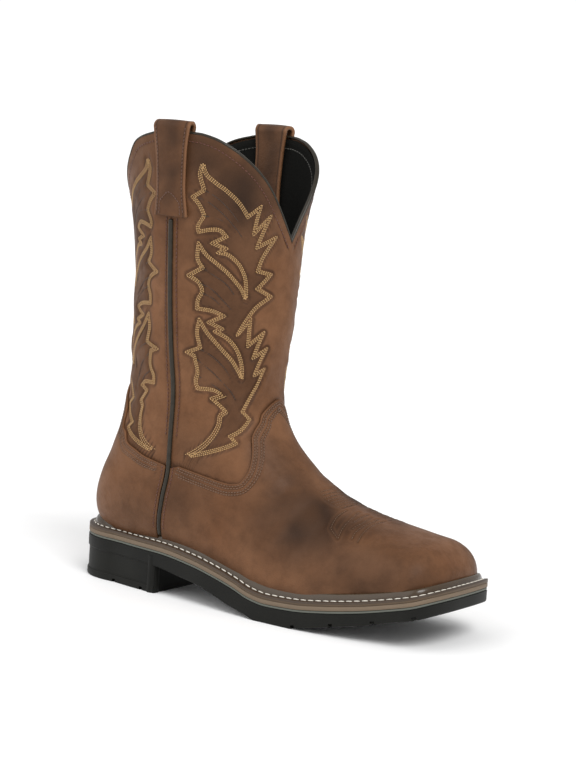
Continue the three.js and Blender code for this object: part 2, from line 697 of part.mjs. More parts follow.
const midsole = band((x) => midLayerTop(x) + GAP, midsoleTop, before, beyond, BAND_STEPS).intersect(planPrism);
const midLayer = band((x) => rubberTop(x) + GAP, midLayerTop, before, beyond, BAND_STEPS)
  .intersect(prism(insetPoints(plan, 0.3), -COLLAR_HEIGHT * 0.1, COLLAR_HEIGHT * 0.4));

// Insole inside the upper
const insole = band(featherLine, (x) => featherLine(x) + INSOLE_THICKNESS, before, beyond, BAND_STEPS)
  .intersect(solid(filled(upperInner - GAP)));

// Rubber outsole: one layer all along, a stepped heel block and grooves between the lugs
function outsole() {
  const shankLine = (x) => (x < HEEL_BREAST ? rubberTop(x) - RUBBER_THICKNESS * 0.8 : under(x));
  const layer = band(shankLine, rubberTop, before, beyond, RUBBER_STEPS).intersect(planPrism);
  const block = (inset, low, high) => band(() => low, high, before, HEEL_BREAST, 1)
    .intersect(prism(insetPoints(plan, inset), -1, COLLAR_HEIGHT * 0.3));
  let rubber = layer
    .add(block(HEEL_STEP, 0, (x) => rubberTop(x) - 1))
    .add(block(0, 0, () => HEEL_TREAD));
  const share = (HEEL_BREAST - HEEL_COLUMN + 1) / SOLE_LENGTH;
  [-planLateral(share), planMedial(share)].forEach((y) => {
    const height = rubberTop(HEEL_BREAST) - 2;
    const post = new THREE.CylinderGeometry(HEEL_COLUMN, HEEL_COLUMN, height, 16);
    const inward = Math.sign(y) * (HEEL_COLUMN - 0.4);
    post.rotateX(Math.PI / 2).translate(reach(share), y * BALL_WIDTH - inward, height / 2);
    rubber = rubber.add(solid(post));
  });
  const groove = (x, z, turn) => {
    const box = new THREE.BoxGeometry(LUG_GROOVE, 3 * BALL_WIDTH, 2 * LUG_DEPTH);
    return solid(box.rotateY(turn).translate(x, 0, z));
  };
  LUG_STATIONS.forEach((station) => {
    const x = reach(station);
    const slope = Math.atan2(under(x + 4) - under(x - 4), 8);
    rubber = rubber.subtract(groove(x, under(x), -slope));
  });
  HEEL_LUG_STATIONS.forEach((station) => {
    rubber = rubber.subtract(groove(reach(station), 0, 0));
  });
  return rubber;
}

const leather = { color: 0x7a5840, roughness: 0.62, metalness: 0 };
const darkTrim = { color: 0x3a342b, roughness: 0.55, metalness: 0 };
const PIECES = [
  ['upper', geometryOf(upper), leather],
  ['vamp', geometryOf(vamp), leather],
  ['counter', geometryOf(counter), leather],
  ['side_piping_lateral', geometryOf(piping(1)), darkTrim],
  ['side_piping_medial', geometryOf(piping(-1)), darkTrim],
  ['collar_binding', binding(), darkTrim],
  ['pull_strap_lateral', strap(1), leather],
  ['pull_strap_medial', strap(-1), leather],
  ['welt', geometryOf(welt()), { color: 0x54473b, roughness: 0.45, metalness: 0 }],
  ['midsole', geometryOf(midsole), { color: 0x7e6756, roughness: 0.7, metalness: 0 }],
  ['mid_layer', geometryOf(midLayer), { color: 0x5f6358, roughness: 0.8, metalness: 0 }],
  ['outsole', geometryOf(outsole()), { color: 0x24241f, roughness: 0.75, metalness: 0 }],
  ['insole', geometryOf(insole), { color: 0x2a2722, roughness: 0.95, metalness: 0 }],
];

const boot = new THREE.Group();
boot.position.set(-SOLE_LENGTH / 2, 0, 0);
PIECES.forEach(([name, geometry, look]) => {
  const mesh = new THREE.Mesh(geometry, new THREE.MeshStandardMaterial(look));
  mesh.name = name;
  boot.add(mesh);
});

const part = new THREE.Group();
part.add(boot);
export default part;
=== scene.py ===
"""A right western work boot: leather, stitching, trim and sole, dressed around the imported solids."""

import math

import bpy
import numpy as np
from mathutils import Matrix, Vector, kdtree, noise


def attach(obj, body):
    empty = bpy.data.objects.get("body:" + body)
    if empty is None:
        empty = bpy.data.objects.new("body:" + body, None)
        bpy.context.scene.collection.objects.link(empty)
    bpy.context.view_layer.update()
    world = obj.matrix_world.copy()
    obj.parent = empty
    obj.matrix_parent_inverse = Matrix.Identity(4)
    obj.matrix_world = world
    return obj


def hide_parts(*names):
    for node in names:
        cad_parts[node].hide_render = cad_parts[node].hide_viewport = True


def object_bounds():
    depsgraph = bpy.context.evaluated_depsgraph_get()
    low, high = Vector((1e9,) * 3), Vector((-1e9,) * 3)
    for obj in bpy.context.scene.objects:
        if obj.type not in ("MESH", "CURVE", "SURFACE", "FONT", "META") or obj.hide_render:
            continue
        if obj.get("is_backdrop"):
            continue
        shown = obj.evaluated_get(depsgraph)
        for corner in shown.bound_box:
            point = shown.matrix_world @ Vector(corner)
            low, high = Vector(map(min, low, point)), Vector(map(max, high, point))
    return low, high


bl_info = {
    "name": "Western Work Boot",
    "version": (1, 0, 0),
    "blender": (4, 5, 0),
    "location": "View3D > Sidebar > Boot",
    "description": "Leather, embroidery, trim and sole of a pull-on western work boot",
    "category": "Add Mesh",
}

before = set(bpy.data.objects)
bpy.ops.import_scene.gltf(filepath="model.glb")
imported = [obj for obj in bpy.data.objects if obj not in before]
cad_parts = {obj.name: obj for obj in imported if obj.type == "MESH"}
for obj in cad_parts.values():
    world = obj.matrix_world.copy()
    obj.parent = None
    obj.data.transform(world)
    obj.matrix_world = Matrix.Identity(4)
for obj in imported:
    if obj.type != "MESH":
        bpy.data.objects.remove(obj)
CAD_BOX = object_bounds()
MM = 0.001
ROOT = "root"

# Form of the upper: sections from toe to collar, as shares of the main sizes
SECTION_COLUMNS = (
    "low_x", "low_z", "high_x", "high_z", "lateral", "medial", "low_y", "high_y", "widest", "round_top",
    "round_low",
)
SECTIONS = (
    (0.975, 0.062, 0.975, 0.187, 0.395, 0.398, 0.044, 0.044, 0.38, 2.6, 3.2),
    (0.931, 0.056, 0.931, 0.198, 0.423, 0.401, 0.044, 0.044, 0.38, 2.6, 3.2),
    (0.882, 0.047, 0.876, 0.207, 0.430, 0.406, 0.044, 0.044, 0.37, 2.5, 3.2),
    (0.817, 0.037, 0.804, 0.218, 0.443, 0.414, 0.044, 0.044, 0.34, 2.4, 3.2),
    (0.732, 0.028, 0.722, 0.234, 0.460, 0.413, 0.010, 0.049, 0.30, 2.2, 3.0),
    (0.641, 0.025, 0.637, 0.264, 0.458, 0.371, 0.000, 0.049, 0.28, 2.1, 3.0),
    (0.542, 0.031, 0.552, 0.324, 0.448, 0.323, 0.000, 0.039, 0.27, 2.0, 2.8),
    (0.438, 0.044, 0.490, 0.400, 0.430, 0.291, 0.000, 0.029, 0.30, 2.0, 2.7),
    (0.327, 0.062, 0.478, 0.475, 0.414, 0.303, 0.000, 0.019, 0.34, 2.0, 2.7),
    (0.216, 0.075, 0.486, 0.531, 0.412, 0.347, 0.000, 0.010, 0.38, 2.0, 2.7),
    (0.088, 0.094, 0.496, 0.581, 0.418, 0.386, 0.000, 0.000, 0.42, 2.0, 2.7),
    (0.027, 0.150, 0.501, 0.625, 0.417, 0.408, 0.000, 0.000, 0.45, 2.0, 2.5),
    (0.048, 0.237, 0.501, 0.662, 0.424, 0.424, 0.000, 0.000, 0.47, 2.0, 2.3),
    (0.087, 0.331, 0.499, 0.700, 0.450, 0.450, 0.000, 0.000, 0.49, 2.0, 2.2),
    (0.105, 0.431, 0.497, 0.741, 0.483, 0.483, 0.000, 0.000, 0.50, 2.0, 2.2),
    (0.107, 0.531, 0.496, 0.784, 0.511, 0.511, 0.000, 0.000, 0.50, 2.0, 2.2),
    (0.105, 0.637, 0.499, 0.831, 0.533, 0.533, 0.000, 0.000, 0.50, 2.0, 2.1),
    (0.098, 0.750, 0.510, 0.884, 0.553, 0.553, 0.000, 0.000, 0.50, 2.0, 2.1),
    (0.063, 0.875, 0.528, 0.947, 0.575, 0.575, 0.000, 0.000, 0.50, 2.0, 2.0),
    (0.013, 1.006, 0.549, 1.012, 0.593, 0.593, 0.000, 0.000, 0.50, 2.0, 2.0),
)
ANKLE_ROW = 11
TOP_ROW = len(SECTIONS) - 1
CAP_START, CAP_END, CAP_POWER, CAP_HEIGHT, CAP_FIRST_ROW = 0.902, 0.9755, 2.4, 0.116, 3

# Collar rim: share of the collar height by angle from the front
RIM_ANGLES = (0, 19, 34, 47, 57, 66, 74, 90, 105, 115, 126, 136, 150, 165, 180)
RIM_SHARES = (
    0.776, 0.853, 0.908, 0.946, 0.970, 0.986, 0.993, 0.995, 0.984, 0.970, 0.936, 0.906, 0.862, 0.823, 0.806,
)

# Top edges of the vamp and the counter: section row by angle from the front
VAMP_ANGLES = (0, 14, 23, 26.3, 33, 37, 39, 43.2, 49.7, 58, 65.2, 71.1, 79, 84, 87.2, 92, 110, 140, 180)
VAMP_ROWS = (
    7.55, 7.47, 7.42, 7.3, 7.27, 7.22, 7.05, 6.88, 6.8, 6.88, 7.2, 7.65, 8.5, 9.25, 9.8, 10.0, 10.1, 10.2,
    10.2,
)
COUNTER_ANGLES = (0, 60, 88, 91.7, 97.4, 106.4, 112.8, 129, 133, 141, 150, 165, 180)
COUNTER_ROWS = (9.1, 9.3, 9.6, 10.2, 10.83, 11.44, 11.89, 12.66, 13.08, 13.45, 13.75, 14.1, 14.25)

# Side seam, plan of the sole, welt line and underside, as in the solids
SEAM_HEIGHTS = (0, 0.14, 0.21, 0.285, 1.1)
SEAM_SHARES = (0.262, 0.268, 0.280, 0.294, 0.294)
PLAN_STATIONS = (0.05, 0.114, 0.203, 0.327, 0.458, 0.588, 0.703, 0.817, 0.922)
PLAN_LATERAL = (0.324, 0.324, 0.364, 0.416, 0.465, 0.500, 0.506, 0.486, 0.442)
PLAN_MEDIAL = (0.320, 0.320, 0.335, 0.316, 0.335, 0.408, 0.481, 0.510, 0.490)
PLAN_TOE, PLAN_TOE_POWER, PLAN_HEEL, PLAN_HEEL_POWER = 0.922, 2.6, 0.118, 2.2
WELT_STATIONS = (
    0, 0.131, 0.275, 0.376, 0.441, 0.507, 0.552, 0.598, 0.667, 0.748, 0.827, 0.902, 0.954, 1, 1.05,
)
WELT_SHARES = (
    1.014, 1.0, 0.989, 0.910, 0.811, 0.674, 0.559, 0.510, 0.529, 0.611, 0.723, 0.860, 0.975, 1.107, 1.2,
)
UNDER_STATIONS = (
    0, 0.275, 0.340, 0.395, 0.444, 0.493, 0.542, 0.570, 0.664, 0.693, 0.734, 0.791, 0.846, 0.902, 0.964, 1.0,
    1.05,
)
UNDER_SHARES = (
    0.9, 0.76, 0.66, 0.57, 0.416, 0.232, 0.1, 0, 0, 0.08, 0.172, 0.328, 0.472, 0.66, 0.844, 1.0, 1.15,
)
LUG_STATIONS = (0.676, 0.771, 0.869, 0.960)
HEEL_LUG_STATIONS = (0.134, 0.225)

# Embroidery of one shaft panel: distance from the side seam as a share of the panel, and height in mm
PANEL_OUTER = (
    (0.203, 300), (0.213, 296), (0.237, 292), (0.276, 289), (0.321, 286), (0.357, 284), (0.400, 281),
    (0.442, 278), (0.487, 274), (0.525, 270), (0.557, 266), (0.643, 273), (0.620, 255), (0.742, 267),
    (0.650, 246), (0.812, 253), (0.702, 240), (0.651, 230), (0.765, 228), (0.647, 218), (0.763, 213),
    (0.640, 205), (0.567, 195), (0.520, 186), (0.602, 197), (0.605, 179), (0.722, 188), (0.650, 171),
    (0.771, 177), (0.650, 159), (0.764, 163), (0.686, 153), (0.558, 142), (0.469, 134), (0.551, 129),
    (0.438, 122), (0.320, 117), (0.366, 113), (0.185, 106), (0.062, 100),
)
FEATHER_TOP = (
    (0.203, 300), (0.190, 292), (0.226, 282), (0.150, 277), (0.201, 272), (0.242, 265), (0.203, 258),
    (0.209, 254), (0.299, 256), (0.364, 256), (0.415, 252), (0.317, 247), (0.415, 244), (0.362, 241),
    (0.429, 240), (0.488, 236), (0.527, 231), (0.555, 223), (0.557, 210),
)
FEATHER_MIDDLE = (
    (0.557, 210), (0.522, 217), (0.479, 222), (0.420, 228), (0.342, 234), (0.273, 239), (0.215, 246),
    (0.209, 236), (0.246, 230), (0.140, 224), (0.213, 220), (0.237, 214), (0.205, 208), (0.200, 202),
    (0.313, 201), (0.399, 198), (0.292, 193), (0.398, 189), (0.348, 187), (0.441, 183), (0.512, 177),
    (0.546, 170), (0.550, 163), (0.527, 156),
)
FEATHER_LOW = (
    (0.527, 156), (0.519, 161), (0.487, 168), (0.426, 174), (0.353, 180), (0.283, 186), (0.218, 194),
    (0.207, 185), (0.247, 175), (0.139, 171), (0.205, 169), (0.230, 159), (0.200, 152), (0.198, 147),
    (0.299, 147), (0.345, 144), (0.266, 141), (0.320, 133), (0.271, 130), (0.247, 124), (0.188, 115),
    (0.115, 106), (0.062, 100),
)
VEINS = (
    ((0.231, 282), (0.314, 278), (0.418, 270), (0.506, 261)),
    ((0.187, 277), (0.269, 274), (0.374, 267), (0.479, 258), (0.534, 252)),
    ((0.241, 265), (0.328, 264), (0.405, 261), (0.477, 255)),
    ((0.246, 230), (0.335, 225), (0.413, 220), (0.469, 213)),
    ((0.215, 220), (0.306, 216), (0.385, 209), (0.460, 202)),
    ((0.237, 213), (0.310, 210), (0.386, 204)),
    ((0.250, 174), (0.362, 169), (0.432, 162), (0.452, 154)),
    ((0.227, 167), (0.340, 159), (0.402, 149), (0.424, 141)),
    ((0.237, 155), (0.307, 151), (0.349, 147)),
)

# Darker places of the leather, partly oiled and burnished and partly painted shade on parts that take less
# light: x, distance from the middle line, z and reach in mm, and strength
BURNISH_AND_SHADE_SPOTS = (
    (200, 30, 72, 42, 1.0), (222, 22, 67, 28, 0.85), (180, 14, 92, 34, 0.65), (240, 10, 64, 18, 0.55),
    (286, 36, 40, 24, 0.5), (222, 50, 32, 26, 0.5), (252, 46, 44, 36, 0.75), (62, 42, 52, 26, 0.45),
    (34, 0, 92, 30, 0.3), (100, 44, 66, 30, 0.45), (112, 50, 100, 26, 0.35), (138, 42, 280, 36, 1.0),
    (112, 52, 304, 32, 0.8), (121, 47, 246, 24, 0.6), (62, 48, 302, 28, 0.45), (152, 30, 262, 26, 0.5),
    (150, 30, 150, 26, 0.3), (40, 20, 250, 34, 0.35),
)


# Soft folds of worn leather, seen from the side: points from the heel and up, depth and half width, in mm
CREASES = (
    (((198, 84), (188, 66), (174, 48)), 0.5, 3.6), (((214, 77), (206, 60), (194, 44)), 0.42, 3.2),
    (((180, 97), (171, 80), (156, 64)), 0.45, 4.2), (((152, 158), (134, 146), (116, 141)), 0.5, 5.0),
    (((156, 186), (138, 176), (120, 174)), 0.4, 6.0), (((28, 164), (50, 156), (72, 157)), 0.6, 4.6),
    (((30, 192), (52, 181), (74, 178)), 0.5, 6.0), (((34, 226), (54, 214), (72, 212)), 0.35, 7.0),
    (((30, 92), (48, 84), (70, 84)), 0.45, 6.0), (((112, 70), (132, 62), (150, 46)), 0.4, 6.0),
    (((150, 250), (138, 232), (128, 218)), 0.35, 7.0),
)


class BootSizes(bpy.types.PropertyGroup):
    """Main sizes of the boot"""

    sole_length: bpy.props.FloatProperty(
        name="Sole length", description="Heel to toe along the welt", default=0.306, unit="LENGTH"
    )
    ball_width: bpy.props.FloatProperty(
        name="Ball width", description="Width of the sole at the ball", default=0.103, unit="LENGTH"
    )
    collar_height: bpy.props.FloatProperty(
        name="Collar height", description="Floor to the top of the side of the collar",
        default=0.320, unit="LENGTH",
    )
    heel_height: bpy.props.FloatProperty(
        name="Heel height", description="Floor to the welt's top at the heel", default=0.0365, unit="LENGTH"
    )
    toe_spring: bpy.props.FloatProperty(
        name="Toe spring", description="Rise of the sole at the toe", default=0.025, unit="LENGTH"
    )
    leather: bpy.props.FloatProperty(
        name="Leather", description="Thickness of the leather", default=0.0015, unit="LENGTH"
    )
    stitch_pitch: bpy.props.FloatProperty(
        name="Stitch pitch", description="Length of one stitch of the embroidery",
        default=0.0016, unit="LENGTH",
    )
    row_spacing: bpy.props.FloatProperty(
        name="Row spacing", description="Distance between rows of embroidery", default=0.00096, unit="LENGTH"
    )
    thread: bpy.props.FloatProperty(
        name="Thread", description="Radius of the embroidery thread", default=0.00044, unit="LENGTH"
    )
    welt_pitch: bpy.props.FloatProperty(
        name="Welt pitch", description="Length of one welt stitch with its gap", default=0.0058, unit="LENGTH"
    )


class BootColours(bpy.types.PropertyGroup):
    """Colours of the boot, as sRGB hex"""

    leather: bpy.props.StringProperty(name="Leather", description="Oiled brown leather", default="654229")
    # The darkest leather colour: dark streaks, burnished places and painted shade all mix towards it.
    leather_dark: bpy.props.StringProperty(name="Burnish_plus_shade", description="Darkest leather", default="2a1a0f")
    # The lightest leather colour: mottling, pulled-up places and the painted highlight on the toe's ridges
    # mix towards it.
    leather_light: bpy.props.StringProperty(name="Pull-up", description="Lightest leather", default="845d41")
    embroidery: bpy.props.StringProperty(name="Embroidery", description="Tan-gold thread", default="bd9560")
    seam_thread: bpy.props.StringProperty(name="Seam thread", description="Brown thread", default="5c2c17")
    welt_thread: bpy.props.StringProperty(name="Welt thread", description="Natural thread", default="f3ecdf")
    welt: bpy.props.StringProperty(name="Welt", description="Top of the welt", default="413122")
    edge: bpy.props.StringProperty(name="Edge", description="Taupe edge of the midsole", default="71604d")
    layer: bpy.props.StringProperty(name="Layer", description="Grey-green layer", default="5c5f57")
    rubber: bpy.props.StringProperty(name="Rubber", description="Black outsole", default="1b1b17")
    trim: bpy.props.StringProperty(name="Trim", description="Piping and binding", default="1d1a14")
    lining: bpy.props.StringProperty(name="Lining", description="Fabric inside", default="0f0f0c")


def linear(hex_colour):
    """Linear RGBA of an sRGB hex colour."""
    channels = [int(hex_colour[i : i + 2], 16) / 255 for i in (0, 2, 4)]
    return tuple(c / 12.92 if c <= 0.04045 else ((c + 0.055) / 1.055) ** 2.4 for c in channels) + (1.0,)


def natural_spline(values):
    """Smooth curve through evenly spaced values, with free ends."""
    values = np.asarray(values, float)
    n = len(values)
    bend, diag, right = np.zeros(n), np.zeros(n), np.zeros(n)
    for i in range(1, n - 1):
        w = 4 - diag[i - 1]
        diag[i] = 1 / w
        right[i] = (6 * (values[i + 1] - 2 * values[i] + values[i - 1]) - right[i - 1]) / w
    for i in range(n - 2, 0, -1):
        bend[i] = right[i] - diag[i] * bend[i + 1]

    def at(t):
        i = np.clip(np.floor(t).astype(int), 0, n - 2)
        b = t - i
        a = 1 - b
        curve = ((a**3 - a) * bend[i] + (b**3 - b) * bend[i + 1]) / 6
        return a * values[i] + b * values[i + 1] + curve

    return at


def monotone(xs, ys):
    """Smooth curve through uneven points that never overshoots them."""
    xs, ys = np.asarray(xs, float), np.asarray(ys, float)
    rise = np.diff(ys) / np.diff(xs)
    tangent = np.r_[rise[0], np.zeros(len(xs) - 2), rise[-1]]
    for i in range(1, len(xs) - 1):
        if rise[i - 1] * rise[i] > 0:
            before, after = xs[i] - xs[i - 1], xs[i + 1] - xs[i]
            weight = (2 * after + before) / rise[i - 1] + (after + 2 * before) / rise[i]
            tangent[i] = 3 * (before + after) / weight

    def at(x):
        x = np.clip(np.asarray(x, float), xs[0], xs[-1])
        i = np.clip(np.searchsorted(xs, x, side="right") - 1, 0, len(xs) - 2)
        h = xs[i + 1] - xs[i]
        t = (x - xs[i]) / h
        ends = (2 * t**3 - 3 * t**2 + 1) * ys[i] + (3 * t**2 - 2 * t**3) * ys[i + 1]
        return ends + h * ((t**3 - 2 * t**2 + t) * tangent[i] + (t**3 - t**2) * tangent[i + 1])

    return at


def end_cap(x, start, end, power):
    """1 up to start, then falling to 0 at end along a superellipse."""
    t = np.clip((x - start) / (end - start), 0, 1)
    return (1 - t**power) ** (1 / power)


def unit(vectors):
    """Vectors of length one."""
    return vectors / np.maximum(np.linalg.norm(vectors, axis=-1, keepdims=True), 1e-9)


def bisect(low, high, past, steps=34):
    """Where past(x) first turns true between low and high, for arrays."""
    for _ in range(steps):
        middle = (low + high) / 2
        over = past(middle)
        high = np.where(over, middle, high)
        low = np.where(over, low, middle)
    return (low + high) / 2


class Form:
    """The outer form in mm from the heel: ring angle u, 0 at the front and positive laterally, and row v."""

    def __init__(self, sizes):
        self.length = sizes.sole_length / MM
        self.width = sizes.ball_width / MM
        self.height = sizes.collar_height / MM
        self.heel = sizes.heel_height / MM
        self.spring = sizes.toe_spring / MM
        self.column = {
            name: natural_spline([r[i] for r in SECTIONS]) for i, name in enumerate(SECTION_COLUMNS)
        }
        rim_share = monotone(RIM_ANGLES, RIM_SHARES)
        self.vamp_edge = lambda u, t=monotone(VAMP_ANGLES, VAMP_ROWS): t(self.degrees(u))
        self.counter_edge = lambda u, t=monotone(COUNTER_ANGLES, COUNTER_ROWS): t(self.degrees(u))
        self.seam_x = lambda z, t=monotone(SEAM_HEIGHTS, SEAM_SHARES): t(z / self.height) * self.length
        self.welt_top = lambda x, t=monotone(WELT_STATIONS, WELT_SHARES): t(x / self.length) * self.heel
        self.under = lambda x, t=monotone(UNDER_STATIONS, UNDER_SHARES): t(x / self.length) * self.spring
        self.angles = np.linspace(-math.pi, math.pi, 1441)
        self.rows = np.linspace(0, TOP_ROW, 600)
        rim_height = rim_share(self.degrees(self.angles)) * self.height
        self.rims = self.row_at_height(self.angles, rim_height)
        self.seams = {side: self.find_seam(side) for side in (1, -1)}
        self.bottoms = {side: self.find_bottom(side) for side in (1, -1)}
        self.levels = np.linspace(70, self.height, 120)
        self.seam_levels = {
            side: np.abs(self.side_at(self.seam_x(self.levels), self.levels, side)[0]) for side in (1, -1)
        }

    def degrees(self, u):
        return np.degrees(np.abs((np.asarray(u) + math.pi) % (2 * math.pi) - math.pi))

    def point(self, u, v):
        u, v = np.broadcast_arrays(np.asarray(u, float), np.asarray(v, float))
        c, s = np.cos(u), np.sin(u)
        power = 2 / np.where(c >= 0, self.column["round_top"](v), self.column["round_low"](v))
        widest = self.column["widest"](v)
        up, across = np.abs(c) ** power, np.abs(s) ** power
        h = np.where(c >= 0, widest + (1 - widest) * up, widest * (1 - up))
        half = np.where(s >= 0, self.column["lateral"](v), self.column["medial"](v)) * self.width
        low_x = self.column["low_x"](v)
        cap = np.where(v < CAP_FIRST_ROW, end_cap(low_x, CAP_START, CAP_END, CAP_POWER), 1)
        x = (low_x * (1 - h) + self.column["high_x"](v) * h) * self.length
        middle = (self.column["low_y"](v) * (1 - h) + self.column["high_y"](v) * h) * self.width
        z = self.column["low_z"](v) * (1 - h) + self.column["high_z"](v) * h
        z = (CAP_HEIGHT + (z - CAP_HEIGHT) * cap) * self.height
        return np.stack([x, middle - np.sign(s) * half * across * cap, z], axis=-1)

    def normal(self, u, v):
        step = 0.02
        along = self.point(u, v + step) - self.point(u, v - step)
        around = self.point(u + step, v) - self.point(u - step, v)
        return unit(np.cross(along, around))

    def off(self, u, v, offset):
        return self.point(u, v) + self.normal(u, v) * np.asarray(offset)[..., None]

    def row_at_height(self, u, z):
        low, high = np.full(np.shape(u), ANKLE_ROW - 1.5), np.full(np.shape(u), float(TOP_ROW))
        return bisect(low, high, lambda v: self.point(u, v)[..., 2] > z)

    def find_seam(self, side):
        def past(u):
            p = self.point(side * u, self.rows)
            return p[..., 0] < self.seam_x(p[..., 2])

        return bisect(np.full(self.rows.shape, 0.7), np.full(self.rows.shape, 2.7), past)

    def find_bottom(self, side):
        def past(u):
            p = self.point(side * u, self.rows)
            return p[..., 2] < self.welt_top(p[..., 0]) - 1.5

        return bisect(np.full(self.rows.shape, 0.9), np.full(self.rows.shape, math.pi), past)

    def rim_row(self, u):
        wrapped = (np.asarray(u) + math.pi) % (2 * math.pi) - math.pi
        return np.interp(wrapped, self.angles, self.rims)

    def seam_angle(self, v, side):
        return np.interp(v, self.rows, self.seams[side])

    def bottom_angle(self, v, side):
        return np.where(
            side > 0, np.interp(v, self.rows, self.bottoms[1]), np.interp(v, self.rows, self.bottoms[-1])
        )

    def seam_row(self, u, clear):
        """Row at which the ring angle u reaches the side seam, from the toe's side."""

        def past(v):
            p = self.point(u, v)
            return p[..., 0] < self.seam_x(p[..., 2]) + clear

        return bisect(np.full(np.shape(u), 4.0), np.full(np.shape(u), 13.5), past)

    def heel_row(self, u):
        """Row at which the ring angle u rises above the welt behind the seam."""

        def past(v):
            p = self.point(u, v)
            return p[..., 2] > self.welt_top(p[..., 0]) - 1.5

        return bisect(np.full(np.shape(u), 7.0), np.full(np.shape(u), 13.0), past)

    def side_at(self, x, z, side):
        """Angle and row where the form's side crosses a point of the side view."""
        u = np.full(np.shape(x), side * math.pi / 2)
        v = np.full(np.shape(x), float(ANKLE_ROW + 3))
        for _ in range(30):
            p = self.point(u, v)
            pu = (self.point(u + 1e-3, v) - p) * 1e3
            pv = (self.point(u, v + 1e-3) - p) * 1e3
            det = pu[..., 0] * pv[..., 2] - pv[..., 0] * pu[..., 2]
            dx, dz = x - p[..., 0], z - p[..., 2]
            u = u + np.clip((dx * pv[..., 2] - pv[..., 0] * dz) / det, -0.3, 0.3)
            v = np.clip(v + np.clip((pu[..., 0] * dz - dx * pu[..., 2]) / det, -1, 1), 1, TOP_ROW)
        return u, v

    def panel(self, share, z, side, back):
        """Angle and row of a place on a shaft panel, by its share of the way from the seam and its height."""
        share = np.asarray(share, float)
        seam = np.interp(z, self.levels, self.seam_levels[side])
        angle = side * (seam + share * (math.pi - seam) if back else seam * (1 - share))
        low, high = np.full(share.shape, 6.0 if not back else 9.0), np.full(share.shape, float(TOP_ROW))
        v = bisect(low, high, lambda v: self.point(angle, v)[..., 2] > z)
        return angle, v


def metres(form, points):
    """Points in the row's frame, in metres."""
    return (points - np.array([form.length / 2, 0, 0])) * MM


def deselect_all():
    """Leaves nothing selected."""
    bpy.ops.object.select_all(action="DESELECT")


def activate(piece):
    """Selects one piece alone."""
    deselect_all()
    piece.select_set(True)
    bpy.context.view_layer.objects.active = piece


def weld(piece, closed=False):
    """Merges the points that meet, and turns a closed shape's faces outwards."""
    activate(piece)
    bpy.ops.object.mode_set(mode="EDIT")
    bpy.ops.mesh.select_all(action="SELECT")
    bpy.ops.mesh.remove_doubles(threshold=0.00002)
    if closed:
        bpy.ops.mesh.normals_make_consistent(inside=False)
    bpy.ops.object.mode_set(mode="OBJECT")
    bpy.ops.object.shade_smooth()


def sheet(name, form, across, along, place, closed=False):
    """A grid whose points lie where place(s, t) puts them; place may return named marks as well."""
    deselect_all()
    bpy.ops.mesh.primitive_grid_add(x_subdivisions=across, y_subdivisions=along, size=2)
    piece = bpy.context.object
    piece.name = name
    mesh = piece.data
    mesh.name = name
    flat = np.empty(len(mesh.vertices) * 3)
    mesh.vertices.foreach_get("co", flat)
    flat = flat.reshape(-1, 3)
    placed = place((flat[:, 0] + 1) / 2, (flat[:, 1] + 1) / 2)
    points, marks = placed if isinstance(placed, tuple) else (placed, {})
    mesh.vertices.foreach_set("co", metres(form, points).ravel())
    for mark, values in marks.items():
        mesh.attributes.new(mark, "FLOAT", "POINT").data.foreach_set("value", np.asarray(values, float))
    mesh.update()
    weld(piece, closed)
    return piece


def thicken(piece, thickness, rim_material=0):
    """Gives a sheet its wall, inwards."""
    activate(piece)
    wall = piece.modifiers.new("wall", "SOLIDIFY")
    wall.thickness = thickness
    wall.offset = -1
    wall.use_rim = True
    wall.material_offset_rim = rim_material
    bpy.ops.object.modifier_apply(modifier=wall.name)


def dress(piece, materials, slot, *nodes):
    """Gives a piece its materials, its body and the solids it stands for; the slot it is given is not used.
    """
    piece.data.materials.clear()
    for material in materials:
        piece.data.materials.append(material)
    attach(piece, ROOT)
    if nodes:
        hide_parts(*nodes)
    return piece


def stitch_shape():
    """One stitch: a small rounded bead of thread lying along X."""
    deselect_all()
    bpy.ops.mesh.primitive_uv_sphere_add(segments=5, ring_count=4, radius=1)
    bead = bpy.context.object
    bpy.ops.object.mode_set(mode="EDIT")
    bpy.ops.mesh.select_all(action="SELECT")
    bpy.ops.mesh.quads_convert_to_tris()
    bpy.ops.object.mode_set(mode="OBJECT")
    points = np.array([v.co[:] for v in bead.data.vertices])
    corners = [tuple(p.vertices) for p in bead.data.polygons]
    faces = np.array(sorted(c[c.index(min(c)) :] + c[: c.index(min(c))] for c in corners))
    bpy.data.objects.remove(bead)
    points = np.stack([points[:, 2], points[:, 0], points[:, 1]], axis=1)
    points[:, 0] = np.sign(points[:, 0]) * np.abs(points[:, 0]) ** 0.7
    return points, faces


def sew(name, form, runs, radius, shape):
    """Copies one stitch along runs of (starts, ends, normals) in mm."""
    starts = np.concatenate([r[0] for r in runs])
    ends = np.concatenate([r[1] for r in runs])
    normals = unit(np.concatenate([r[2] for r in runs]))
    bead, bead_faces = shape
    middle = (starts + ends) / 2
    half = (ends - starts) / 2
    reach = np.linalg.norm(half, axis=1)[:, None]
    along = half / np.maximum(reach, 1e-9)
    aside = unit(np.cross(normals, along))
    upward = np.cross(along, aside)
    n, m = len(middle), len(bead)
    points = (
        middle[:, None]
        + along[:, None] * (bead[None, :, 0:1] * reach[:, None])
        + aside[:, None] * (bead[None, :, 1:2] * radius)
        + upward[:, None] * (bead[None, :, 2:3] * radius * 0.8)
    )
    faces = (bead_faces[None] + (np.arange(n) * m)[:, None, None]).reshape(-1, 3)
    mesh = bpy.data.meshes.new(name)
    mesh.vertices.add(n * m)
    mesh.vertices.foreach_set("co", metres(form, points.reshape(-1, 3)).ravel())
    mesh.loops.add(faces.size)
    mesh.loops.foreach_set("vertex_index", faces.ravel())
    mesh.polygons.add(len(faces))
    mesh.polygons.foreach_set("loop_start", np.arange(0, faces.size, 3))
    mesh.polygons.foreach_set("use_smooth", np.ones(len(faces), bool))
    mesh.update(calc_edges=True)
    piece = bpy.data.objects.new(name, mesh)
    bpy.context.scene.collection.objects.link(piece)
    return piece


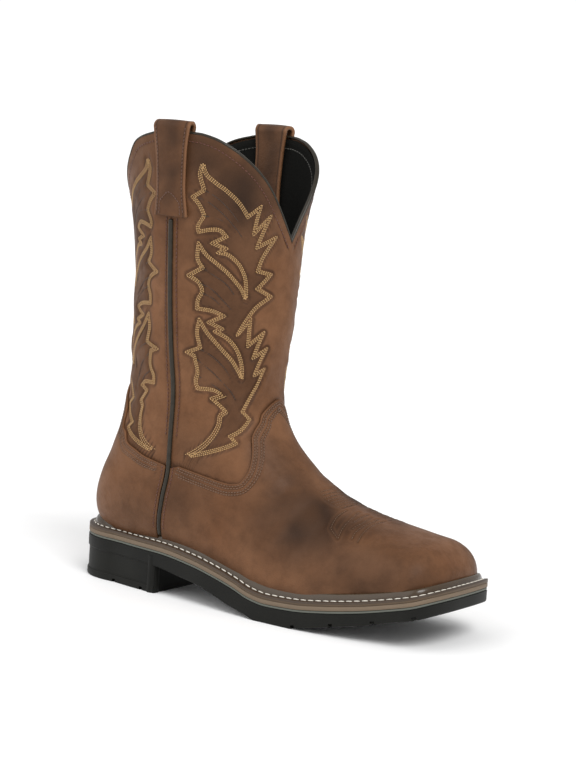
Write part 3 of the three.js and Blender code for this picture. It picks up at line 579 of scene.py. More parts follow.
def stitch_run(points, normals, pitch, length, start=0.0):
    """Starts, ends and normals of the stitches along a line."""
    steps = np.r_[0, np.cumsum(np.linalg.norm(np.diff(points, axis=0), axis=1))]
    centres = np.arange(start + pitch / 2, steps[-1] - length / 2, pitch)
    gap = np.diff(steps)[np.clip(np.searchsorted(steps, centres) - 1, 0, len(steps) - 2)]
    centres = centres[gap < 3]
    pick = lambda values, at: np.stack([np.interp(at, steps, values[:, k]) for k in range(3)], axis=1)
    return pick(points, centres - length / 2), pick(points, centres + length / 2), pick(normals, centres)


def form_run(form, u, v, lift, pitch, length, start=0.0):
    """Stitches along a line of angles and rows, lifted off the form."""
    return stitch_run(form.off(u, v, lift), form.normal(u, v), pitch, length, start)


def shifted(form, u, v, distance):
    """The line moved sideways on the form by a distance in mm."""
    p = form.point(u, v)
    along = unit(np.gradient(p, axis=0))
    target = np.cross(form.normal(u, v), along) * distance
    pu = (form.point(u + 1e-3, v) - p) * 1e3
    pv = (form.point(u, v + 1e-3) - p) * 1e3
    a, b, c = (pu * pu).sum(1), (pu * pv).sum(1), (pv * pv).sum(1)
    d, e = (pu * target).sum(1), (pv * target).sum(1)
    det = a * c - b * b
    return u + (d * c - b * e) / det, v + (a * e - b * d) / det


def flowing(corners, spacing=0.5, sharp=48):
    """Points along a line of corners: smooth where it bends gently, pointed where it turns sharply."""
    corners = np.asarray(corners, float)
    turn = np.zeros(len(corners))
    for i in range(1, len(corners) - 1):
        a, b = corners[i] - corners[i - 1], corners[i + 1] - corners[i]
        cosine = np.dot(a, b) / np.linalg.norm(a) / np.linalg.norm(b)
        turn[i] = math.degrees(math.acos(np.clip(cosine, -1, 1)))
    ends = [0] + [i for i in range(1, len(corners) - 1) if turn[i] > sharp] + [len(corners) - 1]
    line = [corners[:1]]
    for first, last in zip(ends[:-1], ends[1:]):
        part = corners[first : last + 1]
        padded = np.concatenate([2 * part[:1] - part[1:2], part, 2 * part[-1:] - part[-2:-1]])
        for i in range(1, len(padded) - 2):
            p0, p1, p2, p3 = padded[i - 1 : i + 3]
            count = max(int(np.linalg.norm(p2 - p1) / spacing), 2)
            t = (np.arange(1, count + 1) / count)[:, None]
            line.append(
                0.5 * (2 * p1 + (p2 - p0) * t + (2 * p0 - 5 * p1 + 4 * p2 - p3) * t**2
                       + (3 * p1 - p0 - 3 * p2 + p3) * t**3)
            )
    return np.concatenate(line)


def beside(line, distance):
    """A flat line moved sideways; what would double back at a sharp corner is left out."""
    ahead = unit(np.diff(line, axis=0, append=line[-1:] * 2 - line[-2:-1]))
    behind = np.concatenate([ahead[:1], ahead[:-1]])
    mitre = unit(ahead + behind + 1e-9)
    normal = np.stack([-mitre[:, 1], mitre[:, 0]], axis=1)
    stretch = 1 / np.maximum((normal * np.stack([-ahead[:, 1], ahead[:, 0]], axis=1)).sum(1), 0.5)
    moved = line + normal * (distance * stretch)[:, None]
    away = np.sqrt(((moved[:, None] - line[None]) ** 2).sum(2)).min(1)
    return moved[away > 0.9 * abs(distance)]


def panel_lines(form, corners, distance=0.0):
    """One line of the embroidery on each of the four shaft panels, as (angles, rows)."""
    width = {False: 92.0, True: 88.0}
    for side in (1, -1):
        for back in (False, True):
            flat = [(share * width[back], z) for share, z in corners]
            line = beside(flowing(flat), distance) if distance else flowing(flat)
            yield side, back, form.panel(line[:, 0] / width[back], line[:, 1], side, back)


def add_node(tree, kind, inputs=None, links=None, **settings):
    """Adds one node, with its settings, input values and links."""
    made = tree.nodes.new(kind)
    for name, value in settings.items():
        setattr(made, name, value)
    for name, value in (inputs or {}).items():
        made.inputs[name].default_value = value
    for name, source in (links or {}).items():
        tree.links.new(source, made.inputs[name])
    return made


def new_material(name):
    """An empty material with its shader and object coordinates."""
    material = bpy.data.materials.new(name)
    material.use_nodes = True
    tree = material.node_tree
    tree.nodes.clear()
    shader = add_node(tree, "ShaderNodeBsdfPrincipled")
    add_node(tree, "ShaderNodeOutputMaterial", links={"Surface": shader.outputs[0]})
    coords = add_node(tree, "ShaderNodeTexCoord").outputs["Object"]
    return material, tree, shader, coords


def pull_up_leather(name, colours, gloss=0.5, depth=1.0):
    """Oiled full-grain leather, drum-dyed and waxed: darker where it is worn and oiled and where shade is
    painted into creases, stitch troughs and less lit parts, and paler where it is pulled up and where a
    highlight is painted on ridges.
    """
    material, tree, shader, coords = new_material(name)
    base, dark, light = linear(colours.leather), linear(colours.leather_dark), linear(colours.leather_light)
    clouds = add_node(
        tree, "ShaderNodeTexNoise", {"Scale": 1 / 0.055, "Detail": 4.0, "Roughness": 0.55}, {"Vector": coords}
    )
    streaks = add_node(
        tree, "ShaderNodeTexNoise", {"Scale": 1 / 0.009, "Detail": 5.0, "Roughness": 0.65}, {"Vector": coords}
    )
    pores = add_node(tree, "ShaderNodeTexVoronoi", {"Scale": 1 / 0.0011}, {"Vector": coords})
    grain = add_node(
        tree, "ShaderNodeTexNoise", {"Scale": 1 / 0.0016, "Detail": 3.0, "Roughness": 0.7}, {"Vector": coords}
    )
    cloud_share = add_node(
        tree, "ShaderNodeMapRange",
        {"From Min": 0.36, "From Max": 0.66, "To Min": 0.0, "To Max": 0.6}, {"Value": clouds.outputs[0]},
    )
    streak_share = add_node(
        tree, "ShaderNodeMapRange",
        {"From Min": 0.42, "From Max": 0.72, "To Min": 0.0, "To Max": 0.3}, {"Value": streaks.outputs[0]},
    )
    # Per-point darkening: burnished and worn places, darker tones of the leather, and painted shade in
    # creases, stitch troughs, beside the embroidery and on less lit parts.
    shade = add_node(tree, "ShaderNodeAttribute", attribute_name="shade").outputs["Fac"]
    # Per-point lightening: pulled-up places, and on the toe a painted highlight along the ridges between the
    # stitched wrinkles.
    stretch = add_node(tree, "ShaderNodeAttribute", attribute_name="stretch").outputs["Fac"]
    first = add_node(
        tree, "ShaderNodeMix", {6: base, 7: light}, {0: cloud_share.outputs[0]}, data_type="RGBA"
    )
    second = add_node(
        tree, "ShaderNodeMix", {7: dark}, {0: streak_share.outputs[0], 6: first.outputs[2]}, data_type="RGBA"
    )
    third = add_node(tree, "ShaderNodeMix", {7: dark}, {0: shade, 6: second.outputs[2]}, data_type="RGBA")
    fourth = add_node(tree, "ShaderNodeMix", {7: light}, {0: stretch, 6: third.outputs[2]}, data_type="RGBA")
    tree.links.new(fourth.outputs[2], shader.inputs["Base Color"])
    rough = add_node(
        tree, "ShaderNodeMapRange",
        {"From Min": 0.3, "From Max": 0.7, "To Min": gloss - 0.06, "To Max": gloss + 0.1},
        {"Value": streaks.outputs[0]},
    )
    tree.links.new(rough.outputs[0], shader.inputs["Roughness"])
    shader.inputs["IOR"].default_value = 1.5
    shader.inputs["Specular IOR Level"].default_value = 0.17
    pore_bump = add_node(
        tree, "ShaderNodeBump", {"Strength": 0.22 * depth, "Distance": 0.0002},
        {"Height": pores.outputs["Distance"]},
    )
    grain_bump = add_node(
        tree, "ShaderNodeBump", {"Strength": 0.3 * depth, "Distance": 0.0004},
        {"Height": grain.outputs[0], "Normal": pore_bump.outputs[0]},
    )
    fold_bump = add_node(
        tree, "ShaderNodeBump", {"Strength": 0.35 * depth, "Distance": 0.0012},
        {"Height": streaks.outputs[0], "Normal": grain_bump.outputs[0]},
    )
    tree.links.new(fold_bump.outputs[0], shader.inputs["Normal"])
    return material


def raw_edge():
    """Cut edge of the leather: fibrous, dyed dark and dull."""
    material, tree, shader, coords = new_material("raw_leather_edge")
    fibres = add_node(tree, "ShaderNodeTexNoise", {"Scale": 1 / 0.0008, "Detail": 3.0}, {"Vector": coords})
    mixed = add_node(
        tree, "ShaderNodeMix", {6: linear("3a281b"), 7: linear("5a412e")}, {0: fibres.outputs[0]},
        data_type="RGBA",
    )
    tree.links.new(mixed.outputs[2], shader.inputs["Base Color"])
    shader.inputs["Roughness"].default_value = 0.8
    return material


def spun_thread(name, colour, roughness=0.5):
    """Bonded polyester thread, spun and waxed: a soft sheen along each stitch."""
    material, tree, shader, coords = new_material(name)
    ply = add_node(tree, "ShaderNodeTexNoise", {"Scale": 1 / 0.0025, "Detail": 2.0}, {"Vector": coords})
    base = linear(colour)
    darker = tuple(c * 0.62 for c in base[:3]) + (1.0,)
    mixed = add_node(tree, "ShaderNodeMix", {6: base, 7: darker}, {0: ply.outputs[0]}, data_type="RGBA")
    tree.links.new(mixed.outputs[2], shader.inputs["Base Color"])
    shader.inputs["Roughness"].default_value = roughness
    shader.inputs["Sheen Weight"].default_value = 0.15
    return material


def patent_trim(colours):
    """Coated piping: a smooth, nearly black skin with a sharp highlight."""
    material, tree, shader, coords = new_material("coated_piping")
    wear = add_node(tree, "ShaderNodeTexNoise", {"Scale": 1 / 0.004, "Detail": 4.0}, {"Vector": coords})
    mixed = add_node(
        tree, "ShaderNodeMix", {6: linear(colours.trim), 7: linear("3a342b")}, {0: wear.outputs[0]},
        data_type="RGBA",
    )
    tree.links.new(mixed.outputs[2], shader.inputs["Base Color"])
    shader.inputs["Roughness"].default_value = 0.26
    shader.inputs["Specular IOR Level"].default_value = 0.24
    bump = add_node(
        tree, "ShaderNodeBump", {"Strength": 0.15, "Distance": 0.0003}, {"Height": wear.outputs[0]}
    )
    tree.links.new(bump.outputs[0], shader.inputs["Normal"])
    return material


def knit_lining(colours):
    """Brushed nylon lining: black, woven close and dull, with a faint nap."""
    material, tree, shader, coords = new_material("woven_nylon_lining")
    weave = add_node(tree, "ShaderNodeTexVoronoi", {"Scale": 1 / 0.0014}, {"Vector": coords})
    mixed = add_node(
        tree, "ShaderNodeMix", {6: linear("080806"), 7: linear(colours.lining)},
        {0: weave.outputs["Distance"]}, data_type="RGBA",
    )
    tree.links.new(mixed.outputs[2], shader.inputs["Base Color"])
    shader.inputs["Roughness"].default_value = 0.9
    shader.inputs["Specular IOR Level"].default_value = 0.15
    bump = add_node(
        tree, "ShaderNodeBump", {"Strength": 0.3, "Distance": 0.0004}, {"Height": weave.outputs["Distance"]}
    )
    tree.links.new(bump.outputs[0], shader.inputs["Normal"])
    return material


def moulded_pvc(name, colour, roughness, streak=0.25):
    """Extruded PVC welting and edge: even colour with fine lengthwise drawing marks."""
    material, tree, shader, coords = new_material(name)
    stretched = add_node(tree, "ShaderNodeMapping", {"Scale": (0.12, 0.12, 1.0)}, {"Vector": coords})
    drawn = add_node(
        tree, "ShaderNodeTexNoise", {"Scale": 1 / 0.0009, "Detail": 3.0}, {"Vector": stretched.outputs[0]}
    )
    dust = add_node(tree, "ShaderNodeTexNoise", {"Scale": 1 / 0.012, "Detail": 5.0}, {"Vector": coords})
    base = linear(colour)
    darker = tuple(c * (1 - streak) for c in base[:3]) + (1.0,)
    lighter = tuple(min(c * (1 + streak), 1) for c in base[:3]) + (1.0,)
    first = add_node(tree, "ShaderNodeMix", {6: darker, 7: lighter}, {0: drawn.outputs[0]}, data_type="RGBA")
    second = add_node(
        tree, "ShaderNodeMix", {7: darker}, {0: dust.outputs[0], 6: first.outputs[2]}, data_type="RGBA"
    )
    tree.links.new(second.outputs[2], shader.inputs["Base Color"])
    shader.inputs["Roughness"].default_value = roughness
    bump = add_node(
        tree, "ShaderNodeBump", {"Strength": 0.2, "Distance": 0.0003}, {"Height": drawn.outputs[0]}
    )
    tree.links.new(bump.outputs[0], shader.inputs["Normal"])
    return material


def moulded_rubber(colours):
    """Moulded nitrile rubber: black with a satin skin, finely pitted by the mould."""
    material, tree, shader, coords = new_material("moulded_rubber")
    pits = add_node(tree, "ShaderNodeTexNoise", {"Scale": 1 / 0.0012, "Detail": 3.0}, {"Vector": coords})
    bloom = add_node(tree, "ShaderNodeTexNoise", {"Scale": 1 / 0.025, "Detail": 4.0}, {"Vector": coords})
    mixed = add_node(
        tree, "ShaderNodeMix", {6: linear("0e0e0c"), 7: linear(colours.rubber)}, {0: bloom.outputs[0]},
        data_type="RGBA",
    )
    tree.links.new(mixed.outputs[2], shader.inputs["Base Color"])
    shader.inputs["Roughness"].default_value = 0.55
    shader.inputs["IOR"].default_value = 1.52
    shader.inputs["Specular IOR Level"].default_value = 0.16
    bump = add_node(
        tree, "ShaderNodeBump", {"Strength": 0.25, "Distance": 0.0003}, {"Height": pits.outputs[0]}
    )
    tree.links.new(bump.outputs[0], shader.inputs["Normal"])
    return material


def footbed_foam():
    """Fabric-covered foam footbed: dark, soft and matt."""
    material, tree, shader, coords = new_material("fabric_footbed")
    weave = add_node(tree, "ShaderNodeTexVoronoi", {"Scale": 1 / 0.0018}, {"Vector": coords})
    mixed = add_node(
        tree, "ShaderNodeMix", {6: linear("1c1915"), 7: linear("383129")}, {0: weave.outputs["Distance"]},
        data_type="RGBA",
    )
    tree.links.new(mixed.outputs[2], shader.inputs["Base Color"])
    shader.inputs["Roughness"].default_value = 0.92
    return material


def studio_paper():
    """Matt white backdrop paper."""
    material, tree, shader, coords = new_material("backdrop_paper")
    fibres = add_node(tree, "ShaderNodeTexNoise", {"Scale": 40.0}, {"Vector": coords})
    mixed = add_node(
        tree, "ShaderNodeMix", {6: linear("ffffff"), 7: linear("fcfcfc")}, {0: fibres.outputs[0]},
        data_type="RGBA",
    )
    tree.links.new(mixed.outputs[2], shader.inputs["Base Color"])
    shader.inputs["Roughness"].default_value = 0.95
    shader.inputs["Specular IOR Level"].default_value = 0.1
    return material


def kept(name, make):
    """A material made once and used again."""
    return bpy.data.materials.get(name) or make()


def soft_noise(points, size, seed):
    """Even noise between -1 and 1 with a given size in mm."""
    return np.array([noise.noise(Vector(p / size) + Vector((seed, 0, 0))) for p in points])


def burnish_and_shade(points):
    """How dark the leather is at each point, from the listed spots of burnished leather and of painted shade,
    kept lighter along the top of the instep by a painted highlight.
    """
    dark = np.zeros(len(points))
    folded = points.copy()
    folded[:, 1] = np.abs(folded[:, 1])
    for x, y, z, reach, strength in BURNISH_AND_SHADE_SPOTS:
        far = ((folded - np.array([x, y, z])) ** 2).sum(1) / reach**2
        dark = np.maximum(dark, strength * np.exp(-1.2 * far))
    # The top of the instep is kept lighter: a painted highlight where the light from above falls.
    top_lit_crest = np.exp(-((points[:, 1] / 12) ** 2)) * np.clip((points[:, 0] - 150) / 20, 0, 1)
    dark = dark * (1 - 0.6 * top_lit_crest)
    return np.clip(dark * (1 + 0.28 * soft_noise(points, 18, 3.1)) + 0.1 * soft_noise(points, 26, 6.6), 0, 1)


def folds(points):
    """Rise of the leather in its soft folds: a trough with a low ridge on both sides."""
    rise = np.zeros(len(points))
    for corners, depth, reach in CREASES:
        corners = np.array(corners, float)
        t = np.linspace(0, 1, 40)
        line = np.stack([natural_spline(corners[:, k])(t * (len(corners) - 1)) for k in range(2)], axis=1)
        gap = np.linalg.norm(points[:, None, [0, 2]] - line[None], axis=2)
        place = gap.argmin(1) / (len(t) - 1)
        away = gap.min(1) / reach
        fade = np.sin(math.pi * np.clip(place, 0.08, 0.92)) ** 0.6
        rise += depth * fade * (0.55 * np.exp(-((away - 2.1) ** 2)) - np.exp(-(away**2)))
    return rise


def nearest(points, targets):
    """Distance from each point to the nearest target."""
    tree = kdtree.KDTree(len(targets))
    for i, target in enumerate(targets):
        tree.insert(target, i)
    tree.balance()
    return np.array([tree.find(p)[2] for p in points])


def inside(share, height, outline):
    """Whether panel places lie inside a closed outline."""
    outline = np.asarray(outline, float)
    result = np.zeros(len(share), bool)
    for (x0, y0), (x1, y1) in zip(outline, np.roll(outline, -1, axis=0)):
        if y0 == y1:
            continue
        crosses = (height > y0) != (height > y1)
        result ^= crosses & (share < (x1 - x0) * (height - y0) / (y1 - y0) + x0)
    return result


PANEL_BANDS = (PANEL_OUTER, FEATHER_TOP, FEATHER_MIDDLE, FEATHER_LOW)
LEATHER_OUTER = -1.0
SHAFT_EDGE = 0.7
OVERLAY_OUTER = 0.9


def seam_row_line(form, side, aside, low, high):
    """A line beside the piping."""
    z = np.linspace(low, high, int((high - low) * 1.2))
    return form.side_at(form.seam_x(z) + aside, z, side)


def shaft_rows(form):
    """Stitch lines of the shaft: beside the piping and below the collar's edge."""
    lines = [seam_row_line(form, side, aside, 112, 262) for side in (1, -1) for aside in (-4.4, 4.4)]
    u = np.linspace(0, math.pi, 500)
    return lines + [shifted(form, half, form.rim_row(half), 4.4) for half in (u - math.pi, u)]


def side_rows(form):
    """Stitch lines of the foot beside the piping."""
    return [seam_row_line(form, side, aside, 46, 92) for side in (1, -1) for aside in (-4.4, 4.4)]


def foot_rows(form):
    """Stitch lines of vamp and counter: four along each top edge."""
    lines = []
    for low, high, edge, ahead in ((-87, 87, form.vamp_edge, 1), (89.8, 270.2, form.counter_edge, -1)):
        around = np.radians(np.linspace(low, high, 520))
        for distance in (1.6, 3.2, 5.8, 7.4):
            u, v = shifted(form, around, edge(around), distance)
            p = form.point(u, v)
            clear = (p[:, 0] - form.seam_x(p[:, 2])) * ahead > 5.8
            lines.append((u[clear], v[clear]))
    return lines


def shaft_relief(form, points, u, v, back):
    """Rise of the shaft's leather and its marks: sunk along the embroidery, dark within the feathers, with
    painted shadow beside the embroidery and painted shade along the stitch rows and the edges of the vamp and
    counter.
    """
    targets = []
    for corners in PANEL_BANDS:
        for side, is_back, (line_u, line_v) in panel_lines(form, corners):
            if is_back == back:
                targets.append(form.point(line_u, line_v))
    away = nearest(points, np.concatenate(targets))
    vein_targets = []
    for corners in VEINS:
        for side, is_back, (line_u, line_v) in panel_lines(form, corners):
            if is_back == back:
                vein_targets.append(form.point(line_u, line_v))
    vein_away = nearest(points, np.concatenate(vein_targets))
    seam_away = nearest(points, np.concatenate([form.point(a, b) for a, b in shaft_rows(form)]))
    rise = -0.85 * np.exp(-((away / 2.2) ** 2)) + 0.4 * np.exp(-(((away - 5) / 2.6) ** 2))
    rise -= 0.4 * np.exp(-((vein_away / 1.2) ** 2)) + 0.35 * np.exp(-((seam_away / 1.0) ** 2))
    rise += folds(points) + 0.25 * soft_noise(points * np.array([1, 1, 1.6]), 34, 7.7)
    rise = np.clip(rise, -1.05, 0.9)
    seam = np.interp(points[:, 2], form.levels, form.seam_levels[1])
    share = np.where(back, (np.abs(u) - seam) / (math.pi - seam), 1 - np.abs(u) / seam)
    feathers = np.zeros(len(points), bool)
    feathers |= inside(share, points[:, 2], PANEL_OUTER + tuple(reversed(FEATHER_LOW)) + tuple(
        reversed(FEATHER_MIDDLE)) + tuple(reversed(FEATHER_TOP)))
    shade = burnish_and_shade(points)
    shade = np.maximum(shade, 0.5 * feathers)
    # Painted shadow in a band beside the sunk embroidery.
    shade = np.maximum(shade, 0.78 * np.exp(-(((away - 2.4) / 0.9) ** 2)))
    shade = np.maximum(shade, 0.75 * np.exp(-((vein_away / 0.8) ** 2)))
    # Painted shade in the troughs of the stitch rows beside the piping and below the collar.
    shade = np.maximum(shade, 0.55 * np.exp(-((seam_away / 0.9) ** 2)))
    edge = np.where(back, form.counter_edge(u), form.vamp_edge(u))
    rise = np.where(v < edge - 0.12, np.minimum(rise, -0.5), rise)
    # Painted shade on the shaft leather just above the edges of the vamp and counter that lie over it.
    shade = np.maximum(shade, 0.6 * np.clip(1 - (v - edge) / 0.12, 0, 1))
    stretch = 0.35 * np.clip(soft_noise(points, 26, 9.2), 0, 1)
    return rise, {"shade": np.clip(shade, 0, 0.95), "stretch": stretch}


class BOOT_OT_shaft(bpy.types.Operator):
    """Front and back leather of the shaft, quilted by their embroidery"""

    bl_idname = "boot.shaft"
    bl_label = "Shaft leather"

    def execute(self, context):
        form = Form(context.scene.boot_sizes)
        colours = context.scene.boot_colours
        leather = kept("pull_up_leather", lambda: pull_up_leather("pull_up_leather", colours))
        edge = kept("raw_leather_edge", lambda: raw_edge())
        for back in (False, True):

            def place(s, t, back=back):
                first = 8.6 if back else 6.3
                across = 2 * s - 1
                v = np.full(s.shape, 12.0)
                for _ in range(6):
                    side = np.where(across >= 0, 1, -1)
                    seam = np.where(side > 0, form.seam_angle(v, 1), form.seam_angle(v, -1))
                    seam = np.minimum(seam, form.bottom_angle(v, side)) if not back else seam
                    if back:
                        u = np.where(side > 0, 1, -1) * (math.pi - np.abs(across) * (math.pi - seam))
                        u = np.where(across == 0, math.pi, u)
                    else:
                        u = across * seam
                    v = first + (form.rim_row(u) + 0.05 - first) * t
                base = form.point(u, v)
                rise, marks = shaft_relief(form, base, u, v, back)
                fade = np.clip((form.rim_row(u) - v) * 2.2, 0, 1) * np.clip((1 - np.abs(across)) * 22, 0, 1)
                return form.off(u, v, LEATHER_OUTER + rise * fade), marks

            name = "shaft_back_leather" if back else "shaft_front_leather"
            piece = sheet(name, form, 140, 170, place)
            face_outwards(piece, form)
            thicken(piece, SHAFT_EDGE * MM, 1)
            dress(piece, [leather, edge], "leather_brown", "upper")
        return {"FINISHED"}


def face_outwards(piece, form):
    """Turns a sheet's faces away from the boot's middle line."""
    mesh = piece.data
    score = 0.0
    for i in range(0, len(mesh.polygons), max(len(mesh.polygons) // 400, 1)):
        polygon = mesh.polygons[i]
        centre = polygon.center
        x = centre.x / MM + form.length / 2
        inner = Vector((min(max(x, 90), 250) - form.length / 2, 0, centre.z / MM if x < 150 else 40)) * MM
        score += polygon.normal.dot(centre - inner)
    if score < 0:
        mesh.flip_normals()


class BOOT_OT_lining(bpy.types.Operator):
    """Woven lining of foot and shaft"""

    bl_idname = "boot.lining"
    bl_label = "Lining"

    def execute(self, context):
        form = Form(context.scene.boot_sizes)
        colours = context.scene.boot_colours
        toe = np.array([CAP_END * form.length - 3, 0.044 * form.width, CAP_HEIGHT * form.height])

        def place(s, t):
            u = (2 * s - 1) * math.pi
            rim = form.rim_row(u) - 0.02
            v = np.maximum(t * rim, 0.02)
            p = form.off(u, v, -2.78)
            p[:, 2] = np.maximum(p[:, 2], form.welt_top(p[:, 0]) - 2.4)
            return np.where((t == 0)[:, None], toe, p)

        piece = sheet("boot_lining", form, 120, 150, place)
        face_outwards(piece, form)
        thicken(piece, 0.00062)
        dress(piece, [kept("woven_nylon_lining", lambda: knit_lining(colours))], "insole_dark")
        for node in ("insole",):
            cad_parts[node].data.materials.clear()
            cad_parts[node].data.materials.append(kept("fabric_footbed", lambda: footbed_foam()))
        return {"FINISHED"}


# Short stitched wrinkles across the vamp: row, and how far they reach from the front in degrees
WRINKLES = ((5.12, 13), (5.01, 16), (4.91, 17), (4.81, 17), (4.71, 17), (4.61, 17), (4.51, 16), (4.41, 14))
# Petals of the toe stitching: (angle, row) corners, mirrored to the other side
TOE_PETALS = (
    ((13, 4.26), (28, 4.28), (40, 4.22), (47, 3.88)), ((47, 3.88), (37, 3.92), (22, 3.94), (7, 3.99)),
    ((4, 3.78), (14, 3.79), (23, 3.81)), ((32, 3.69), (25, 3.64), (18, 3.6), (6, 3.62)),
    ((43, 3.51), (34, 3.54), (24, 3.5), (12, 3.44), (3, 3.46)),
    ((45, 3.31), (27, 3.34), (10, 3.31), (2, 3.27)),
)


def vamp_lines():
    """Stitched lines on top of the foot, as (angles, rows)."""
    for row, reach in WRINKLES:
        u = np.radians(np.linspace(-reach, reach, 40))
        yield u, row - 0.05 * np.cos(u * 6)
    for petal in TOE_PETALS:
        for side in (1, -1):
            flat = flowing([(a * 0.6, r * 26) for a, r in petal], 0.8)
            yield np.radians(flat[:, 0] / 0.6) * side, flat[:, 1] / 26


class BOOT_OT_vamp(bpy.types.Operator):
    """Leather of the foot, with its tongue, flex creases and stitched wrinkles"""

    bl_idname = "boot.vamp"
    bl_label = "Vamp"

    def execute(self, context):
        form = Form(context.scene.boot_sizes)
        colours = context.scene.boot_colours
        leather = kept("pull_up_leather", lambda: pull_up_leather("pull_up_leather", colours))
        edge = kept("raw_leather_edge", lambda: raw_edge())
        clear = 2.2
        seam_rows = form.seam_row(form.angles, clear)
        toe = np.array([CAP_END * form.length + OVERLAY_OUTER, 0.044 * form.width, CAP_HEIGHT * form.height])
        lines = [form.point(u, v) for u, v in vamp_lines()]
        rows = np.concatenate([form.point(u, v) for u, v in foot_rows(form) + side_rows(form)])

        def place(s, t):
            across = 2 * s - 1
            v = 0.02 + 7 * t
            for _ in range(24):
                u = across * form.bottom_angle(v, np.where(across >= 0, 1, -1))
                end = np.minimum(form.vamp_edge(u), np.interp(u, form.angles, seam_rows))
                v = 0.5 * v + 0.5 * (0.02 + (end - 0.02) * t)
            base = form.point(u, v)
            away = nearest(base, np.concatenate(lines))
            row_away = nearest(base, rows)
            rise = -0.45 * np.exp(-((away / 1.1) ** 2)) + 0.25 * np.exp(-(((away - 2) / 1.1) ** 2))
            rise += folds(base) + 0.3 * soft_noise(base, 30, 4.4) + 0.12 * soft_noise(base, 11, 2.2)
            rise = np.clip(rise, -0.6, 1.0) - 0.3 * np.exp(-((row_away / 0.9) ** 2))
            edge_fade = np.clip((end - v) * 8, 0, 1) * np.clip(v * 2, 0, 1)
            # Painted shade in the troughs of the toe's stitched wrinkles.
            shade = np.maximum(burnish_and_shade(base), 0.5 * np.exp(-((away / 1.0) ** 2)))
            shade = np.maximum(shade, 0.45 * np.exp(-(((base[:, 2] - form.welt_top(base[:, 0])) / 10) ** 2)))
            # Painted shade in the troughs of the vamp's stitch rows.
            shade = np.maximum(shade, 0.5 * np.exp(-((row_away / 0.9) ** 2)))
            stretch = 0.3 * np.clip(soft_noise(base, 28, 5.5), 0, 1)
            # Painted highlight on the ridges between the toe's stitched wrinkles.
            stretch = np.maximum(stretch, 0.12 * np.exp(-(((away - 2.1) / 0.8) ** 2)))
            p = form.off(u, v, OVERLAY_OUTER + rise * edge_fade)
            return np.where((t == 0)[:, None], toe, p), {"shade": np.clip(shade, 0, 0.9), "stretch": stretch}

        piece = sheet("vamp_leather", form, 190, 180, place)
        face_outwards(piece, form)
        thicken(piece, context.scene.boot_sizes.leather, 1)
        dress(piece, [leather, edge], "leather_brown", "vamp")
        return {"FINISHED"}


class BOOT_OT_counter(bpy.types.Operator):
    """Leather round the heel, with its peak at the back"""

    bl_idname = "boot.counter"
    bl_label = "Counter"

    def execute(self, context):
        form = Form(context.scene.boot_sizes)
        colours = context.scene.boot_colours
        leather = kept("pull_up_leather", lambda: pull_up_leather("pull_up_leather", colours))
        edge = kept("raw_leather_edge", lambda: raw_edge())
        start = math.radians(88.5)
        angles = np.linspace(start, 2 * math.pi - start, 721)
        low = np.maximum(form.seam_row(angles, -2.2), form.heel_row(angles))
        rows = np.concatenate([form.point(u, v) for u, v in foot_rows(form) + side_rows(form)])

        def place(s, t):
            u = start + (2 * math.pi - 2 * start) * s
            first = np.interp(u, angles, low)
            last = np.maximum(form.counter_edge(u), first + 0.001)
            v = first + (last - first) * t
            base = form.point(u, v)
            rise = folds(base) + 0.3 * soft_noise(base, 30, 8.4)
            row_away = nearest(base, rows)
            rise -= 0.3 * np.exp(-((row_away / 0.9) ** 2))
            fade = np.clip((last - v) * 8, 0, 1)
            # Painted shade in the troughs of the counter's stitch rows.
            shade = np.maximum(burnish_and_shade(base), 0.5 * np.exp(-((row_away / 0.9) ** 2)))
            shade = np.maximum(shade, 0.45 * np.exp(-(((base[:, 2] - form.welt_top(base[:, 0])) / 10) ** 2)))
            stretch = 0.35 * np.clip(soft_noise(base, 26, 1.9), 0, 1)
            return form.off(u, v, OVERLAY_OUTER + rise * fade), {"shade": shade, "stretch": stretch}

        piece = sheet("counter_leather", form, 210, 80, place)
        face_outwards(piece, form)
        thicken(piece, context.scene.boot_sizes.leather, 1)
        dress(piece, [leather, edge], "leather_brown", "counter")
        return {"FINISHED"}


class BOOT_OT_embroidery(bpy.types.Operator):
    """Rows of tan-gold stitches that draw the feathers on the shaft, and the dark veins inside them"""

    bl_idname = "boot.embroidery"
    bl_label = "Embroidery"

    def execute(self, context):
        sizes, colours = context.scene.boot_sizes, context.scene.boot_colours
        form = Form(sizes)
        gold = kept("embroidery_thread", lambda: spun_thread("embroidery_thread", colours.embroidery, 0.45))
        dark = kept("vein_thread", lambda: spun_thread("vein_thread", "3c281a", 0.6))
        shape = stitch_shape()
        pitch, spacing, radius = sizes.stitch_pitch / MM, sizes.row_spacing / MM, sizes.thread / MM
        runs = {1: [], -1: []}
        for corners in PANEL_BANDS:
            for row in (-1, 0, 1):
                for side, back, (u, v) in panel_lines(form, corners, row * spacing):
                    lift = LEATHER_OUTER - 0.42 + 0.1 * abs(row)
                    offset = 0.5 * pitch * (row % 2)
                    runs[side].append(form_run(form, u, v, lift, pitch, pitch * 0.84, offset))
        for side, label in ((1, "lateral"), (-1, "medial")):
            piece = sew("embroidery_" + label, form, runs[side], radius, shape)
            dress(piece, [gold], "leather_brown")
        veins = []
        for corners in VEINS:
            for side, back, (u, v) in panel_lines(form, corners):
                veins.append(form_run(form, u, v, LEATHER_OUTER - 0.12, pitch * 1.1, pitch * 1.2))
        dress(sew("embroidery_veins", form, veins, 0.3, shape), [dark], "leather_dark")
        return {"FINISHED"}


